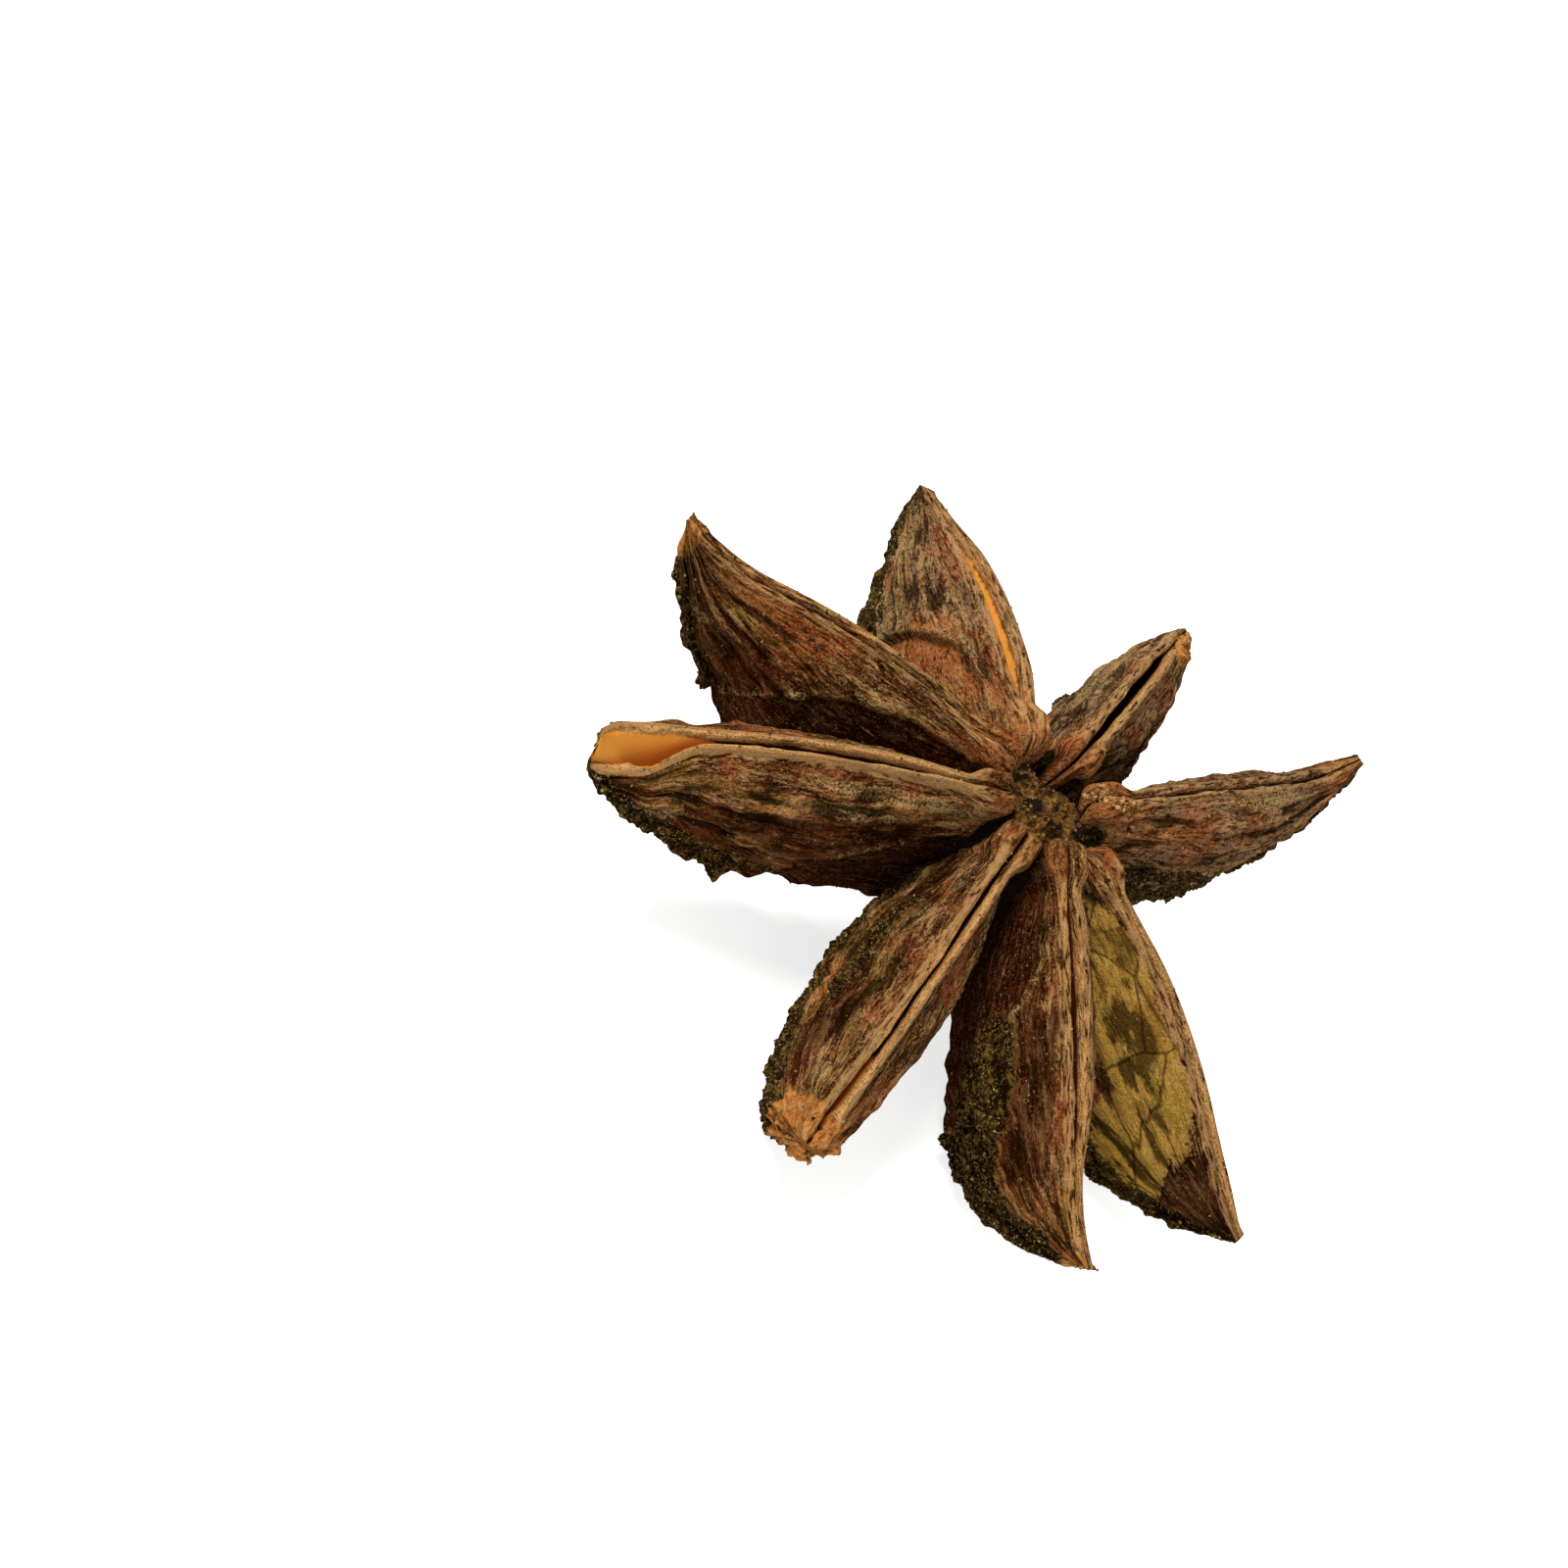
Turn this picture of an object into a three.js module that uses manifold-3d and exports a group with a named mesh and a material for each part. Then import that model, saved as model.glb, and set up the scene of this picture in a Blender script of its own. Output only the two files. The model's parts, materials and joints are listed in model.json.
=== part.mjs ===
// A dried star anise pod: eight woody, boat-shaped carpels of uneven size, joined like the
// arms of a star round a short column. It lies as on a table, on its keels, seams up.
// Millimetres, +Z up. The origin is on the table, under the middle of the pod's box.

import * as THREE from 'three';
import { LoftGeometry } from 'three/addons/geometries/LoftGeometry.js';
import { mergeVertices } from 'three/addons/utils/BufferGeometryUtils.js';
import Module from 'manifold-3d';

const wasm = await Module();
wasm.setup();

// ---- Sizes that the eight carpels share, in mm ----

const SEAM_HEIGHT = 9.25; // height at which the eight seams would meet on the axis
const SEAM_START = 2.2; // distance from the axis at which its curves begin
const LIP = 0.42; // thickness of the woody lip along each side of a seam
const SEAM_DEPTH = 2.0; // how far down an open seam goes
const HAIRLINE = 0.03; // half the width of a seam that is shut
const INNER_ROUNDING = 0.55; // radius of a carpel's rounded inner end
const KNOB = 0.36; // how much a lip swells at its inner end
const UNDERCUT = 0.9; // how far a carpel's inner end is hollowed out below the lips
const CRAG = 0.15; // height of the lumps along a keel
const FLANK_CRAG = 0.07; // height of the lumps on a flank
const BEAK_START = 0.72; // share of the seam after which the beak turns up or down
const STATIONS = 21; // cross sections along a carpel

// The column in the middle, the hole in its top, and the scar that the stalk left under it.
const COLUMN_RADIUS = 2.6;
const COLUMN_TOP = 8.75;
const COLUMN_BOTTOM = 2.7;
const TOP_DIP = 0.7; // how much lower the top is on one side
const DIP_AZIMUTH = 145; // which side that is, in degrees
const HOLE_AZIMUTH = 109; // degrees
const HOLE_OUT = 1.3; // distance from the axis
const HOLE_RADIUS = 0.32;
const HOLE_DEPTH = 1.3;
const SCAR_RADIUS = 1.3;
const SCAR_HEIGHT = 0.7;
const COLUMN_SIDES = 24;

const BARK = '#5a3423';

// ---- The eight carpels ----

// What a carpel has unless its own entry says otherwise. Angles are in degrees, sizes in mm,
// and the other numbers are shares of the carpel's own depth, half breadth or seam length.
// Left and right are as seen from the axis, looking out along the seam.
const PLAIN_CARPEL = {
  starts: 1.6, // distance from the axis at which it begins, in mm
  root: [0, 0], // how far its inner end stands to the left and up, in mm
  heel: 0.8, // depth at the axis
  deepest: 0.47, // how far out the keel hangs lowest
  belly: 1.9, // how square the keel is outside that
  slim: 0.36, // its breadth at the inner end
  tapers: [1.7, 1.7], // how late the left and right breadths fall off towards the beak
  fades: [0.85, 0.85], // how fast they do
  blunt: 0, // 0 for a pointed end, 1 for a stub
  gape: 0.25, // widest opening of the seam, in mm
  opens: 0.05, // where along the seam the gape starts
  shuts: 0.9, // and where it ends
  mouth: 0, // extra gape of a broken end, in mm
  skew: 0, // how much further out than halfway the seam arches highest
  floorRises: 0.8, // where along the seam its floor starts to come up
  lips: [LIP, LIP], // left and right lip, in mm
  torn: 0, // how much of the left lip's end is torn off, in mm
};

// Anticlockwise from the carpel that lies nearest to +X.
const CARPELS = [
  // Long, swept to the right, its papery right flank broad.
  { azimuth: -2, pitch: -19, lean: -1.1, reach: 16.8, depth: 7.75, arch: 1, hook: 0.75,
    sway: -2.7, halves: [1.8, 2.4], gape: 0.22, opens: 0.2, shuts: 0.97, starts: 2.1,
    root: [0.1, 0.4] },
  // Slender and shallow, shut, with a long fine beak.
  { azimuth: 57.1, pitch: -3.6, lean: -14.6, reach: 16.2, depth: 5.4, arch: 0.7, hook: 0.85,
    sway: 2.2, halves: [1.8, 1.6], gape: 0.08, belly: 1.45, slim: 0.5, starts: 1.75,
    root: [0.1, -0.1] },
  // The shortest, narrow and stubby, a dark open seam.
  { azimuth: 96.4, pitch: -8.6, lean: 3, reach: 14.2, depth: 9.1, arch: 0.6, hook: 0.1,
    sway: -0.55, halves: [1.3, 2.3], gape: 0.4, opens: 0.08, shuts: 0.84, blunt: 0.5,
    tapers: [3, 2.4], fades: [0.7, 0.6], deepest: 0.36, heel: 1, slim: 0.6, starts: 2.1, root: [0.2, 0.25] },
  // Upright, gaping along a thick far lip.
  { azimuth: 140.4, pitch: -14.6, lean: 12.8, reach: 15.9, depth: 9, arch: 1.25, hook: 0.5,
    sway: -0.7, halves: [2.2, 3], gape: 0.75, opens: 0.12, shuts: 0.86, deepest: 0.3,
    belly: 1.7, lips: [LIP, 0.85], skew: 0.3, tapers: [1.7, 1.3], starts: 2.3,
    root: [0.1, 0.15] },
  // Cracked by a hairline only, the beak hooked well up.
  { azimuth: 186.9, pitch: -5.6, lean: -1.1, reach: 16.3, depth: 9.6, arch: 0.78, hook: 1.8,
    sway: 2.3, halves: [2.3, 1.7], gape: 0.12, deepest: 0.3, belly: 1.7, root: [-0.1, 0.2] },
  // The longest, its blunt end torn open on the left.
  { azimuth: 226.2, pitch: -7.1, lean: 1.7, reach: 17.75, depth: 7.5, arch: 1.1, hook: 0,
    sway: -0.1, halves: [2.3, 2], gape: 0.2, opens: 0.1, shuts: 0.99, blunt: 0.3,
    mouth: 0.5, heel: 0.95, deepest: 0.4, belly: 1.95, tapers: [2.2, 2.2],
    fades: [0.6, 0.6], floorRises: 0.93, torn: 1.3, starts: 1.45, root: [0, 0.1] },
  // Thick, its end broken off blunt.
  { azimuth: 278, pitch: -16.9, lean: -9.9, reach: 16.6, depth: 7.6, arch: 0.8, hook: -0.4,
    sway: 0.75, halves: [2.3, 2.3], gape: 0.13, opens: 0.02, shuts: 0.99, blunt: 0.6,
    mouth: 0.12, heel: 0.95, tapers: [2.5, 2.5], fades: [0.6, 0.6], floorRises: 0.93,
    starts: 1.45, root: [0, 0.05] },
  // Deep, a narrow groove between lips of which the left one bulges.
  { azimuth: 317.1, pitch: -10.9, lean: -0.3, reach: 17.9, depth: 7.6, arch: 0.65, hook: 1.3,
    sway: -0.7, halves: [2.3, 2.1], gape: 0.22, opens: 0.02, shuts: 0.78, belly: 2.1,
    lips: [0.75, LIP], tapers: [1, 1.7], fades: [2.2, 0.85], starts: 1.45,
    root: [0.2, 0.3] },
].map((own) => ({ ...PLAIN_CARPEL, ...own }));

// One half of a cross section below the lip: share of the depth, share of the half breadth,
// and the clearance to the next carpel's half of the space. It turns negative near the keel,
// where neighbouring carpels are grown together.
const FLANK_ROWS = [
  [0.12, 0.66, 0.22],
  [0.24, 0.86, 0.2],
  [0.42, 0.99, 0.17],
  [0.58, 0.84, 0.15],
  [0.74, 0.6, 0.1],
  [0.9, 0.37, -0.04],
];

// ---- Curves of a carpel ----

const { clamp, degToRad, lerp, smoothstep } = THREE.MathUtils;

function swell(start, full, fading, end, x) {
  return smoothstep(x, start, full) * (1 - smoothstep(x, fading, end));
}

// Uneven lumps, from -1 to 1, that never repeat over a carpel's length.
function lumps(x, phase) {
  const waves = Math.sin(2.1 * x + phase) + 0.6 * Math.sin(3.7 * x + 2 * phase);
  return (waves + 0.4 * Math.sin(6.1 * x + 3 * phase)) / 2;
}

// The seam: how far out it is at a share of the carpel's length, how far along the seam
// that is, and how far it stands to the side and up there.
function seamAt(carpel, share) {
  const x = lerp(carpel.starts, carpel.reach, share);
  const along = clamp((x - SEAM_START) / (carpel.reach - SEAM_START), 0, 1);
  const beak = clamp((along - BEAK_START) / (1 - BEAK_START), 0, 1);
  const arch = 4 * carpel.arch * along * (1 - along) * (1 + carpel.skew * (along - 0.5));
  const [aside, up] = carpel.root;
  const rooted = (1 - along) ** 4;
  return {
    x,
    along,
    y: carpel.sway * along ** 2 + aside * rooted,
    z: arch + carpel.hook * beak ** 2 + up * rooted,
  };
}

function depthAt(carpel, x, along) {
  const { heel, deepest, belly, blunt, depth, azimuth } = carpel;
  const rise = Math.sin((Math.PI / 2) * clamp(along / deepest, 0, 1));
  const fall = clamp((along - deepest) / (1 - deepest), 0, 1) ** belly;
  const boat = along < deepest ? lerp(heel, 1, rise) : 1 - fall;
  const stub = Math.sqrt(1 - clamp((along - 0.35) / 0.65, 0, 1) ** 3.5);
  const keel = CRAG * lumps(x, azimuth) * swell(0, 0.2, 0.85, 1, along);
  return Math.max(depth * lerp(boat, stub, blunt) + keel, 0.05);
}

function breadthAt(carpel, along, side) {
  const hand = side > 0 ? 0 : 1;
  const grown = lerp(carpel.slim, 1, smoothstep(along, -0.05, 0.48));
  const outer = clamp((along - 0.4) / 0.6, 0, 1) ** carpel.tapers[hand];
  return carpel.halves[hand] * grown * lerp(0.14, 1, (1 - outer) ** carpel.fades[hand]);
}

function gapeAt(carpel, along, breadth) {
  const { gape, opens, shuts, mouth } = carpel;
  const open = (gape / 2) * swell(opens, opens + 0.18, shuts - 0.15, shuts, along);
  const broken = (mouth / 2) * smoothstep(along, 0.72, 0.95);
  const end = Math.sqrt(1 - clamp((along - 0.94) / 0.06, 0, 1) ** 2);
  return Math.min((open + broken + HAIRLINE) * lerp(0.15, 1, end), 0.6 * breadth);
}

// The smaller of two lengths, with the corner between them rounded off.
function softMin(a, b) {
  const sharpness = 4;
  return -Math.log(Math.exp(-sharpness * a) + Math.exp(-sharpness * b)) / sharpness;
}

// Half of a cross section, from the seam's floor over the lip and down the flank to the keel:
// points of [distance from the seam's plane, depth below the seam, distance further out].
function halfSection(carpel, x, along, side, halfGap) {
  const depth = depthAt(carpel, x, along);
  const breadth = breadthAt(carpel, along, side);
  const gape = gapeAt(carpel, along, breadth);
  const { floorRises, starts } = carpel;
  const deep = SEAM_DEPTH * swell(-0.05, 0.12, floorRises, (floorRises + 1.18) / 2, along);
  const floor = Math.min(deep + 0.25, 0.6 * depth);
  const knob = KNOB * swell(starts, starts + 0.5, starts + 1.2, starts + 2.2, x);
  const lip = Math.min(carpel.lips[side > 0 ? 0 : 1], 0.55 * breadth) + knob;
  const room = Math.max(x * Math.tan(halfGap), 0.1);

  const rows = [
    [0, floor],
    [0.9 * gape, 0.6 * floor],
    [gape + 0.12 * lip, 0.05 - knob / 2],
    [gape + 0.55 * lip, -0.02 - knob],
    [gape + lip, 0.03 * depth + 0.08 - knob / 2],
  ];
  for (const [down, out, clearance] of FLANK_ROWS) {
    const lump = FLANK_CRAG * lumps(x + 3 * down, carpel.azimuth + 7 * down + side);
    const free = softMin(breadth * out + lump * smoothstep(along, 0, 0.3), room - clearance);
    const least = Math.min(gape + lip * (1 + 0.5 * down), 0.9 * breadth);
    rows.push([Math.max(free, least), down * depth]);
  }
  rows.push([0.2 * breadth + 0.1, 0.985 * depth]);
  rows.push([0, depth]);

  const hollow = UNDERCUT * (1 - clamp((x - starts) / 2, 0, 1));
  const inner = clamp(1 - (x - starts) / INNER_ROUNDING, 0, 1);
  const rounding = INNER_ROUNDING * (1 - Math.sqrt(1 - inner ** 2));
  const torn = side > 0 ? carpel.torn * smoothstep(along, 0.78, 0.88) : 0;
  return rows.map(([out, down]) => {
    const rounded = down + rounding * (1 - clamp(down / depth, 0, 1));
    const sunk = rounded + torn * clamp(1 - rounded / (torn + 1.2), 0, 1);
    return [out, sunk, hollow * swell(0.2, 1.2, 1.8, 3.2, sunk)];
  });
}

// ---- Solids ----

// A closed geometry as a Manifold: shared vertices merged, and triangles left out that have
// shrunk to a line where a section closes to a point.
function toManifold(geometry) {
  const bare = new THREE.BufferGeometry();
  bare.setAttribute('position', geometry.attributes.position);
  bare.setIndex(geometry.index);
  const merged = mergeVertices(bare, 1e-4);
  const corners = merged.index.array;
  const kept = [];
  for (let i = 0; i < corners.length; i += 3) {
    const [a, b, c] = corners.slice(i, i + 3);
    if (a !== b && b !== c && c !== a) kept.push(a, b, c);
  }
  const vertProperties = new Float32Array(merged.attributes.position.array);
  return new wasm.Manifold(
    new wasm.Mesh({ numProp: 3, vertProperties, triVerts: new Uint32Array(kept) }),
  );
}

// A ring of points all at the middle of a section, which closes the loft there.
function closing(section) {
  const middle = new THREE.Vector3();
  section.forEach((point) => middle.addScaledVector(point, 1 / section.length));
  return section.map(() => middle);
}

function makeCarpel(carpel, halfGapLeft, halfGapRight) {
  const place = new THREE.Matrix4()
    .makeTranslation(0, 0, SEAM_HEIGHT)
    .multiply(new THREE.Matrix4().makeRotationZ(degToRad(carpel.azimuth)))
    .multiply(new THREE.Matrix4().makeRotationY(degToRad(-carpel.pitch)))
    .multiply(new THREE.Matrix4().makeRotationX(degToRad(carpel.lean)));

  const sections = [];
  for (let station = 0; station < STATIONS; station += 1) {
    const even = station / (STATIONS - 1);
    const share = lerp(even, (1 - Math.cos(Math.PI * even)) / 2, 0.75); // closest at both ends
    const seam = seamAt(carpel, share);
    const left = halfSection(carpel, seam.x, seam.along, 1, halfGapLeft);
    const right = halfSection(carpel, seam.x, seam.along, -1, halfGapRight);
    const around = [
      ...right.map(([out, down, further]) => [-out, down, further]),
      ...left.slice(1, -1).reverse(),
    ];
    sections.push(around.map(([out, down, further]) => (
      new THREE.Vector3(seam.x + further, seam.y + out, seam.z - down).applyMatrix4(place)
    )));
  }
  sections.unshift(closing(sections[0]));
  sections.push(closing(sections[sections.length - 1]));
  return toManifold(new LoftGeometry(sections));
}

// The column, with a hole in its crumbly, uneven top and the stalk's scar underneath.
function makeColumn() {
  const profile = [
    [0, COLUMN_BOTTOM - SCAR_HEIGHT * 0.7],
    [SCAR_RADIUS * 0.6, COLUMN_BOTTOM - SCAR_HEIGHT],
    [SCAR_RADIUS, COLUMN_BOTTOM - SCAR_HEIGHT * 0.8],
    [SCAR_RADIUS * 1.2, COLUMN_BOTTOM],
    [COLUMN_RADIUS, COLUMN_BOTTOM + 0.6],
    [COLUMN_RADIUS, COLUMN_TOP - 1.5],
    [COLUMN_RADIUS * 0.84, COLUMN_TOP - 0.8],
    [COLUMN_RADIUS * 0.6, COLUMN_TOP - 0.25],
    [COLUMN_RADIUS * 0.35, COLUMN_TOP],
    [0, COLUMN_TOP - 0.1],
  ].map(([radius, height]) => new THREE.Vector2(radius, height));
  const geometry = new THREE.LatheGeometry(profile, COLUMN_SIDES);
  geometry.rotateX(Math.PI / 2);

  const dipAngle = degToRad(DIP_AZIMUTH);
  const point = new THREE.Vector3();
  const { position } = geometry.attributes;
  for (let i = 0; i < position.count; i += 1) {
    point.fromBufferAttribute(position, i);
    const angle = Math.atan2(point.y, point.x);
    const swelling = 1 + 0.07 * Math.sin(5 * angle + point.z) + 0.05 * Math.sin(3 * angle);
    const rimward = Math.hypot(point.x, point.y) / COLUMN_RADIUS;
    const dip = TOP_DIP * rimward * smoothstep(Math.cos(angle - dipAngle), -0.6, 1);
    const drop = dip * smoothstep(point.z, COLUMN_TOP - 3, COLUMN_TOP - 1);
    position.setXYZ(i, point.x * swelling, point.y * swelling, point.z - drop);
  }
  const holeAngle = degToRad(HOLE_AZIMUTH);
  const hole = new THREE.CylinderGeometry(HOLE_RADIUS, HOLE_RADIUS / 2, HOLE_DEPTH * 2, 10)
    .rotateX(Math.PI / 2)
    .translate(
      HOLE_OUT * Math.cos(holeAngle),
      HOLE_OUT * Math.sin(holeAngle),
      COLUMN_TOP - TOP_DIP / 2,
    );
  return toManifold(geometry).subtract(toManifold(hole));
}

// All eight carpels and the column as one body, its lowest keels flat where they bear on
// the table. Crevices that the join shuts off are filled.
function makePod() {
  let pod = makeColumn();
  CARPELS.forEach((carpel, i) => {
    const next = CARPELS[(i + 1) % CARPELS.length];
    const previous = CARPELS[(i + CARPELS.length - 1) % CARPELS.length];
    const halfGap = (from, to) => degToRad(((to.azimuth - from.azimuth + 360) % 360) / 2);
    pod = pod.add(makeCarpel(carpel, halfGap(carpel, next), halfGap(previous, carpel)));
  });
  const table = new THREE.BoxGeometry(80, 80, 10).translate(0, 0, -5);
  const bodies = pod.subtract(toManifold(table)).decompose();
  bodies.sort((a, b) => b.volume() - a.volume());

  const mesh = bodies[0].getMesh();
  const geometry = new THREE.BufferGeometry();
  geometry.setAttribute('position', new THREE.BufferAttribute(mesh.vertProperties, 3));
  geometry.setIndex(new THREE.BufferAttribute(mesh.triVerts, 1));
  geometry.computeBoundingBox();
  const middle = geometry.boundingBox.getCenter(new THREE.Vector3());
  geometry.translate(-middle.x, -middle.y, 0);
  geometry.computeVertexNormals();
  return geometry;
}

const material = new THREE.MeshStandardMaterial({ color: BARK, roughness: 0.8, metalness: 0 });
const podMesh = new THREE.Mesh(makePod(), material);
podMesh.name = 'star_anise_pod';

const model = new THREE.Group();
model.add(podMesh);

export default model;
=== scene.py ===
"""A dried star anise pod: eight woody carpels round a crumbly column, on a pale floor.

Sizes are in millimetres from the table under the middle of the pod's box, and become metres
where a mesh is filled. Run it as a script: main() builds the pieces and the stage.
"""

import itertools
import json
import math
from functools import partial

import bmesh
import bpy
import numpy as np
from bpy.props import FloatProperty, FloatVectorProperty, IntProperty, PointerProperty
from mathutils import Matrix, Vector
from mathutils.bvhtree import BVHTree

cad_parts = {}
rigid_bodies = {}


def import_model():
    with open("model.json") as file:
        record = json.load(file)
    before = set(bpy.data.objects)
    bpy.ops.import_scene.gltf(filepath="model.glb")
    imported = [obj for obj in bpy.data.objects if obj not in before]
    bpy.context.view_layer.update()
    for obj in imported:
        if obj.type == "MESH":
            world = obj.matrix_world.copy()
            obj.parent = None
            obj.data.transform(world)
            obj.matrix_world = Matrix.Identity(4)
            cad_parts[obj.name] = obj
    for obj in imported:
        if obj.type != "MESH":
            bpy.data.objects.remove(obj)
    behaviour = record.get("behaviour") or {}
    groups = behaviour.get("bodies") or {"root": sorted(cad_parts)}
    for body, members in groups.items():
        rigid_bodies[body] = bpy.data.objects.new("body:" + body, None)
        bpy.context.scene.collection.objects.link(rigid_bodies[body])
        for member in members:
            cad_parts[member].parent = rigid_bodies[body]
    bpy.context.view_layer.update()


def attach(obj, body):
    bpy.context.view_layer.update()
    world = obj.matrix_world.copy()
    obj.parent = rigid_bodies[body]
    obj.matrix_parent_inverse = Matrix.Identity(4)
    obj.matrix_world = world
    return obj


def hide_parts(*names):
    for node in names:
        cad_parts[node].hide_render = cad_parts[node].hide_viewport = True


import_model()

bl_info = {
    "name": "Star Anise Pod",
    "version": (1, 0, 0),
    "blender": (4, 5, 0),
    "location": "3D View > Sidebar > Star Anise",
    "description": "Builds a dried star anise pod with a woody, crusted rind",
    "category": "Add Mesh",
}

POD = "star_anise_pod"
MM = 0.001

# ---- Sizes of the pod, in mm ----

AXIS = (-0.0139, 0.2753)  # the pod's axis, from the middle of its box
SEAM_HEIGHT = 9.25  # height at which the eight seams would meet on the axis
SEAM_START = 2.2  # distance from the axis at which its curves begin
SEAM_DEPTH = 2.0  # how far down an open seam goes
LIP = 0.42  # thickness of the woody lip along each side of a seam
HAIRLINE = 0.03  # half the width of a seam that is shut
INNER_ROUNDING = 0.55  # radius of a carpel's rounded inner end
KNOB = 0.36  # how much a lip swells at its inner end
UNDERCUT = 0.9  # how far a carpel's inner end is hollowed out below the lips
CRAG = 0.15  # height of the lumps along a keel
FLANK_CRAG = 0.07  # height of the lumps on a flank
BEAK_START = 0.72  # share of the seam after which the beak turns up or down

COLUMN_RADIUS = 2.6
COLUMN_TOP = 8.75
COLUMN_BOTTOM = 2.7
TOP_DIP = 0.7  # how much lower the top is on one side
DIP_AZIMUTH = 145  # which side that is, in degrees
HOLE_AZIMUTH = 109  # degrees
HOLE_OUT = 1.3  # distance from the axis
HOLE_RADIUS = 0.32
HOLE_DEPTH = 1.3
SCAR_RADIUS = 1.3
SCAR_HEIGHT = 0.7
COLUMN_STATIONS = 260  # samples from the stalk's scar to the middle of the top
COLUMN_ROUND = 221  # and samples round it

# Lengths along and across the grain of each kind of relief, in mm.
RIDGE_GRAIN = (5.0, 0.8)
WRINKLE_GRAIN = (1.3, 0.24)
LUMP_GRAIN = (1.8, 1.2)
CRAG_GRAIN = (1.1, 1.1)
CRUST_GRAIN = (0.8, 0.6)
GRIT_GRAIN = (0.22, 0.19)
RAGGED_GRAIN = (1.6, 0.9)  # how the edges of facets and crust wander
WAVE_GRAIN = (2.2, 1.2)  # how the fibres sway from side to side
COLUMN_GRAIN = (0.55, 0.55)

# Heights of the relief that isn't in the settings, in mm.
FIBRE_WAVE = 0.14
KEEL_CRAGS = 0.25
RIM_HEIGHT = 0.17  # the crumbly ridge round a facet
RIM_OVERHANG = 0.3  # the hollow just below that ridge
FACET_SINK = 0.08
SKIN_LIFT = 0.06  # the papery skin
SPLINTERS = 0.3  # broken wood
TORN_EDGE = 0.16  # the torn end of a lip

# ---- Crumbs, in mm ----

ABOVE = 20.0  # the height from which a crumb falls
DOWN = Vector((0, 0, -1))
COLUMN_CRUMBS = 170
CRUMBS_REACH = 2.2  # how far from the axis they lie
CARPEL_GRAINS = 360
GRAIN_SIZES = (0.05, 0.13)

# The slender carpel's left lip is torn where it meets the column. The middle of its crumbs from
# the axis, their spread, and the spread's slant in degrees.
TORN_CRUMBS = 160
TORN_AT = (1.5, 2.1)
TORN_SPREAD = (0.42, 0.16)
TORN_SLANT = 20
TORN_SIZES = (0.08, 0.22)

# ---- The eight carpels ----

# What a carpel has unless its own entry says otherwise. Angles are in degrees, sizes in mm,
# and the other numbers are shares of the carpel's own depth, half breadth or seam length.
# Left and right are as seen from the axis, looking out along the seam.
PLAIN_CARPEL = {
    "starts": 1.6,  # distance from the axis at which it begins, in mm
    "root": (0, 0),  # how far its inner end stands to the left and up, in mm
    "heel": 0.8,  # depth at the axis
    "deepest": 0.47,  # how far out the keel hangs lowest
    "belly": 1.9,  # how square the keel is outside that
    "slim": 0.36,  # its breadth at the inner end
    "tapers": (1.7, 1.7),  # how late the breadths fall off towards the beak
    "fades": (0.85, 0.85),  # how fast they do
    "blunt": 0.0,  # 0 for a pointed end, 1 for a stub
    "gape": 0.25,  # widest opening of the seam, in mm
    "opens": 0.05,  # where along the seam the gape starts
    "shuts": 0.9,  # and where it ends
    "mouth": 0.0,  # extra gape of a broken end, in mm
    "skew": 0.0,  # how much further out than halfway the seam arches highest
    "floor_rises": 0.8,  # where along the seam its floor starts to come up
    "lips": (LIP, LIP),  # left and right lip, in mm
    "torn": 0.0,  # how much of the left lip's end is torn off, in mm
    "crust": (0.7, 0.7),  # depth at which the dark crust begins on the left and right
    # Where each pressed facet starts, where it ends at the keel, and its inner edge's depth.
    "facets": ((3, 11, 0.1), (3, 11, 0.1)),
    "rim": 0.5,  # how much a crumbly ridge stands up round the facets
    "facet_tint": 0.85,  # how dark and smooth the facets are
    "lip_tint": 0.5,  # how orange the lips are
    # From where to where the inner wall is clean and orange, in mm, and how much.
    "pale_wall": (0, 0, 0),
    "pale": 0.2,  # how pale its rind is, from 0 to 1
    "marks": (),
}

# What else shows on a flank: the kind of mark, its side, how far out it is and how far below
# the lip's crest, its half length and half height, in mm, and its slant in degrees.
# The stain marks are dark stains and painted shade together.
MARK_KINDS = ("papery", "raw", "dust", "rosy", "crust", "stain")

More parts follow.
